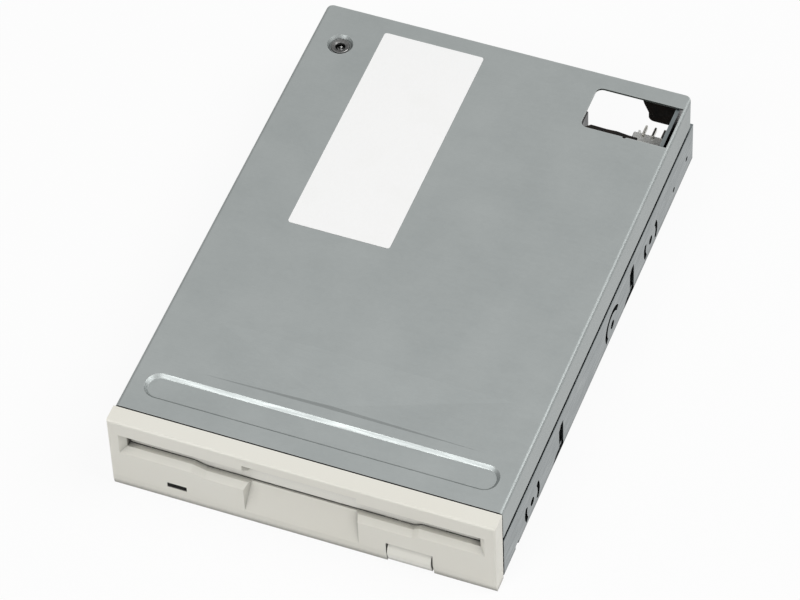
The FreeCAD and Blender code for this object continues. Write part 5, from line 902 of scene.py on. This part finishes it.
# Chip leads and solder
CHIP_LEAD_HALF = 0.16 * MM              # half of its width
CHIP_LEAD_THICK = 0.13 * MM
CHIP_LEAD_REACH = 0.95 * MM
CHIP_LEAD_START = 0.45                  # where on the chip's height the leads come out
# The lead's upper face: share of its reach, and share of its fall to the board
CHIP_LEAD_BENDS = ((-0.1, 0), (0.30, 0), (0.48, 0.2), (0.55, 0.7))
CHIP_LEAD_FOOT = (0.70, 1.0)            # shares of its reach between which it lies on the board
# A solder joint's side: radius, and distance from the board, in mm
SOLDER_SIDE = ((0.18, 0.36), (0.32, 0.34), (0.40, 0.22), (0.52, 0.12), (0.72, 0.04), (0.80, 0.0))
LEG_INSET = 0.32 * MM                   # from a pin's front to the middle of its leg
BOARD_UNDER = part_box("main_board")[0].z


def chip_lead(made, start, out, foot):
    """A flat lead that leaves the body, bends down and lies on the board."""
    across = Vector((-out[1], out[0], 0)) * CHIP_LEAD_HALF
    down = Vector((0, 0, CHIP_LEAD_THICK))
    places = [(share, start.z - fall * (start.z - foot)) for share, fall in CHIP_LEAD_BENDS]
    places += [(share, foot + CHIP_LEAD_THICK) for share in CHIP_LEAD_FOOT]
    rings = []
    for share, height in places:
        middle = Vector((start.x + out[0] * CHIP_LEAD_REACH * share,
                         start.y + out[1] * CHIP_LEAD_REACH * share, height))
        rings.append([tuple(middle + across), tuple(middle - across),
                      tuple(middle - across - down), tuple(middle + across - down)])
    skin(made, rings)


def make_chip_leads(node, pitch, count, sides):
    """A row of leads on each of the sides, which are given by the way out of them."""
    low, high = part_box(node)
    height = low.z + CHIP_LEAD_START * (high.z - low.z)
    middle = ((low.x + high.x) / 2, (low.y + high.y) / 2)
    half = ((high.x - low.x) / 2, (high.y - low.y) / 2)
    made = bmesh.new()
    for out in sides:
        for index in range(count):
            shift = (index - (count - 1) / 2) * pitch
            start = Vector((middle[0] + out[0] * half[0] + out[1] * shift,
                            middle[1] + out[1] * half[1] + out[0] * shift, height))
            chip_lead(made, start, out, low.z)
    link_piece(node + "_leads", smooth_mesh(made, node + "_leads"), "root", slot="contact_tin")


def make_solder(node):
    """A fillet of solder under the board at each pin's leg."""
    made = bmesh.new()
    for low, high in islands(node):
        centre = ((low.x + high.x) / 2, low.y + LEG_INSET, 0)
        turned(made, "z", centre, [(r * MM, BOARD_UNDER - z * MM) for r, z in SOLDER_SIDE], steps=14)
    link_piece(node + "_solder", smooth_mesh(made, node + "_solder"), "root", slot="contact_tin")


FOUR_SIDES = ((1, 0), (-1, 0), (0, 1), (0, -1))
make_chip_leads("controller_chip", pitch=0.8 * MM, count=13, sides=FOUR_SIDES)
make_chip_leads("motor_driver_chip", pitch=1.27 * MM, count=6, sides=((0, 1), (0, -1)))
make_solder("data_pins")
make_solder("power_pins")


# Tracks of the main board, raised under its lacquer
TRACK_WIDE = 0.34 * MM
TRACK_HIGH = 0.04 * MM
TRACK_FRONT_Y = 30.0 * MM
TRACK_START_GAP = 1.1 * MM
TRACK_STEP = 0.75 * MM
TRACK_PITCH = 1.15 * MM
TRACK_CENTRE_X = 2.0 * MM
TRACK_ENDS = 5                          # the front ends are staggered in groups of this many


def track(made, places, face, side):
    """A flat strip along the places, standing out from the board's face."""
    raised, rings = face + side * TRACK_HIGH, []
    for index, place in enumerate(places):
        before = places[max(index - 1, 0)]
        after = places[min(index + 1, len(places) - 1)]
        along = (Vector(after) - Vector(before)).normalized()
        across = Vector((-along.y, along.x)) * TRACK_WIDE / 2
        left, right = Vector(place) + across, Vector(place) - across
        rings.append([(left.x, left.y, face), (right.x, right.y, face),
                      (right.x, right.y, raised), (left.x, left.y, raised)])
    skin(made, rings)
    turned(made, "z", (*places[-1], 0), [(TRACK_WIDE, face), (TRACK_WIDE, raised)], steps=12)


def make_tracks(name, face, side, rows):
    """Tracks that run from the data pins to the front, drawn together on the way."""
    made = bmesh.new()
    for index, (low, high) in enumerate(rows):
        x, y = (low.x + high.x) / 2, low.y - TRACK_START_GAP
        middle = (len(rows) - 1) / 2
        target = TRACK_CENTRE_X + (index - middle) * TRACK_PITCH
        bend = y - TRACK_STEP * (1 + middle - abs(index - middle))
        front = TRACK_FRONT_Y + TRACK_STEP * (index % TRACK_ENDS)
        track(made, [(x, y), (x, bend), (target, bend - abs(target - x)), (target, front)], face, side)
    link_piece(name, smooth_mesh(made, name), "root", slot="main_board_mask", finish=TRACK_LACQUER)


def track_lacquer():
    """The same lacquer over bare copper: paler, with a sheen that varies a little."""
    finish = Finish("track_lacquer", roughness=0.3, coat=0.4)
    finish.colour((0.085, 0.24, 0.10), (finish.noise(size=1.5 * MM), (0.065, 0.20, 0.08)))
    finish.sheen_of(finish.noise(size=0.8 * MM), low=0.25, high=0.4)
    return finish.raised(finish.noise(size=0.3 * MM, detail=2.0), depth=0.004 * MM).material


TRACK_LACQUER = track_lacquer()
# The front pin of each pair, from left to right
FRONT_PINS = sorted(islands("data_pins"), key=lambda pair: (round(pair[0].x / MM), pair[0].y))[::2]
make_tracks("under_tracks", BOARD_UNDER, side=-1, rows=FRONT_PINS)


# Power connector: a block over the pins' legs, and a low shelf with walls around the pins
SHELF_TOP = 5.6 * MM
SHELF_WALL = 0.7 * MM
SHELF_WALL_TOP = 7.6 * MM
SHELF_INSET = 0.02 * MM
SHELF_LAP = 0.5 * MM                    # how deep the housing's blocks run into each other
BLOCK_LENGTH = 6.6 * MM
BLOCK_EDGE = 0.25 * MM
FINGER = 0.30 * MM
FINGER_LENGTH = 3.4 * MM
FINGER_AHEAD, FINGER_BEHIND = 0.4, 0.6  # the shares of it on both sides of the block's rear edge
FINGER_SUNK = 0.2 * MM
FINGER_HEIGHT = 1.1 * MM


def make_power_connector():
    """The housing: its high block in front, its low shelf between two walls behind."""
    low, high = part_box("power_connector")
    step = low.y + BLOCK_LENGTH
    made = bmesh.new()
    block(made, low, Vector((high.x, step, high.z)), edge=BLOCK_EDGE)
    block(made, Vector((low.x, step - SHELF_LAP, low.z)), Vector((high.x, high.y, SHELF_TOP)))
    for left in (low.x + SHELF_INSET, high.x - SHELF_INSET - SHELF_WALL):
        block(made, Vector((left, step - SHELF_LAP, SHELF_TOP - SHELF_LAP)),
              Vector((left + SHELF_WALL, high.y - SHELF_INSET, SHELF_WALL_TOP)))
    piece = link_piece("power_connector_housing", smooth_mesh(made, "power_housing"), "root",
                       slot="connector_white")
    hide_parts("power_connector")


def make_connector_fingers():
    """Grey contact fingers between the four ways, over the block's rear edge."""
    low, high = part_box("power_connector")
    ways = sorted((left.x + right.x) / 2 for left, right in islands("power_pins"))
    made = bmesh.new()
    rear = low.y + BLOCK_LENGTH
    for left, right in zip(ways, ways[1:]):
        middle = (left + right) / 2
        block(made, Vector((middle - FINGER, rear - FINGER_AHEAD * FINGER_LENGTH, high.z - FINGER_SUNK)),
              Vector((middle + FINGER, rear + FINGER_BEHIND * FINGER_LENGTH, high.z + FINGER_HEIGHT)))
    link_piece("power_connector_fingers", smooth_mesh(made, "power_fingers"), "root", slot="contact_tin")


make_power_connector()
make_connector_fingers()


# Dark film under the cover's window, and on its rear tab, where it is painted shade
FILM_THICK = 0.12 * MM
FILM_GAP = 0.01 * MM
# Its uneven rear edge, which peeps out of the window, from left to right, and its front edge, in mm
FILM_EDGE = ((27.2, 56.3), (28.8, 57.85), (33.0, 57.70), (36.0, 57.85), (39.0, 57.5), (41.6, 57.35),
             (42.0, 55.0))
FILM_FRONT_Y = 48.0
INNER_FACE_AREA = 20 * MM * MM          # faces of the cover's underside that are larger than this count


def dark_film(name):
    """Thin black sheet, matt and slightly wavy."""
    finish = Finish(name, roughness=0.5)
    finish.shader.inputs["Specular IOR Level"].default_value = 0.12
    finish.colour((0.006, 0.006, 0.006), (finish.noise(size=2 * MM), (0.014, 0.010, 0.008)))
    finish.sheen_of(finish.noise(size=1 * MM), low=0.5, high=0.7)
    return finish.raised(finish.noise(size=3 * MM, detail=2.0), depth=0.02 * MM).material


def cover_underside():
    """Height of the cover sheet's inner face beside the window."""
    heights = [face.center.z for face in frame["nodes"]["top_cover"].data.polygons
               if face.normal.z < -FACING and face.area > INNER_FACE_AREA]
    return max(heights)


def make_window_film(finish):
    """A sheet under the cover in front of the window, with its rear edge in view."""
    top = cover_underside() - FILM_GAP
    outline = [(x * MM, y * MM) for x, y in reversed(FILM_EDGE)]
    outline += [(FILM_EDGE[0][0] * MM, FILM_FRONT_Y * MM), (FILM_EDGE[-1][0] * MM, FILM_FRONT_Y * MM)]
    mesh = extruded(outline, top - FILM_THICK, top)
    link_piece("window_film", mesh, "root", finish=finish)


def make_tab_shade_film(finish):
    """A dark sheet with the outline of the rear tab, lying on the tab's inner face: painted shade for the tab
    seen from inside.
    """
    made = merged("top_cover")
    inner = max(face.calc_center_median().y for face in made.faces if face.normal.y < -FACING)
    spare = [face for face in made.faces
             if face.normal.y > -FACING or abs(face.calc_center_median().y - inner) > FILM_GAP]
    bmesh.ops.delete(made, geom=spare, context="FACES")
    for vertex in made.verts:
        vertex.co.y -= FILM_GAP
    lifted = bmesh.ops.extrude_face_region(made, geom=made.faces[:] + made.edges[:] + made.verts[:])
    for vertex in [item for item in lifted["geom"] if isinstance(item, bmesh.types.BMVert)]:
        vertex.co.y -= FILM_THICK
    link_piece("tab_shade_film", flat_mesh(made, "tab_shade_film"), "root", finish=finish)


FILM = dark_film("dark_film")
make_window_film(FILM)
make_tab_shade_film(FILM)


# The eject button: its face leans back from a soft ridge, above and below
BUTTON_NOSE = 2.1 * MM                  # the front part of the button that takes the leaning face
BUTTON_RIDGE = 4.3 * MM
BUTTON_RIDGE_BACK = 0.8 * MM            # how far the ridge lies behind the frame's button
BUTTON_LEAN = 0.36
BUTTON_RIDGE_SOFT = 0.5 * MM
BUTTON_CUTS = (-1.2, -0.8, -0.5, -0.25, 0, 0.25, 0.5, 0.8, 1.2)     # rows of corners round it, in mm
BUTTON_FLAT = math.radians(0.4)         # faces that differ by less become one


def make_eject_button():
    """The frame's button with the face that follows the bezel's sloping chin."""
    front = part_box("eject_button")[0].y
    made = merged("eject_button")
    for cut in BUTTON_CUTS:
        bmesh.ops.bisect_plane(made, geom=made.verts[:] + made.edges[:] + made.faces[:],
                               plane_co=(0, 0, BUTTON_RIDGE + cut * MM), plane_no=(0, 0, 1))
    for vertex in made.verts:
        along = (vertex.co.y - front) / BUTTON_NOSE
        if along < 1:
            off_ridge = math.hypot(vertex.co.z - BUTTON_RIDGE, BUTTON_RIDGE_SOFT) - BUTTON_RIDGE_SOFT
            vertex.co.y += (BUTTON_RIDGE_BACK + BUTTON_LEAN * off_ridge) * (1 - along)
    bmesh.ops.dissolve_limit(made, angle_limit=BUTTON_FLAT, verts=made.verts, edges=made.edges)
    mesh = smooth_mesh(made, "eject_button_moulded")
    piece = link_piece("eject_button_moulded", mesh, "slide", "button_plastic")
    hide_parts("eject_button")


make_eject_button()
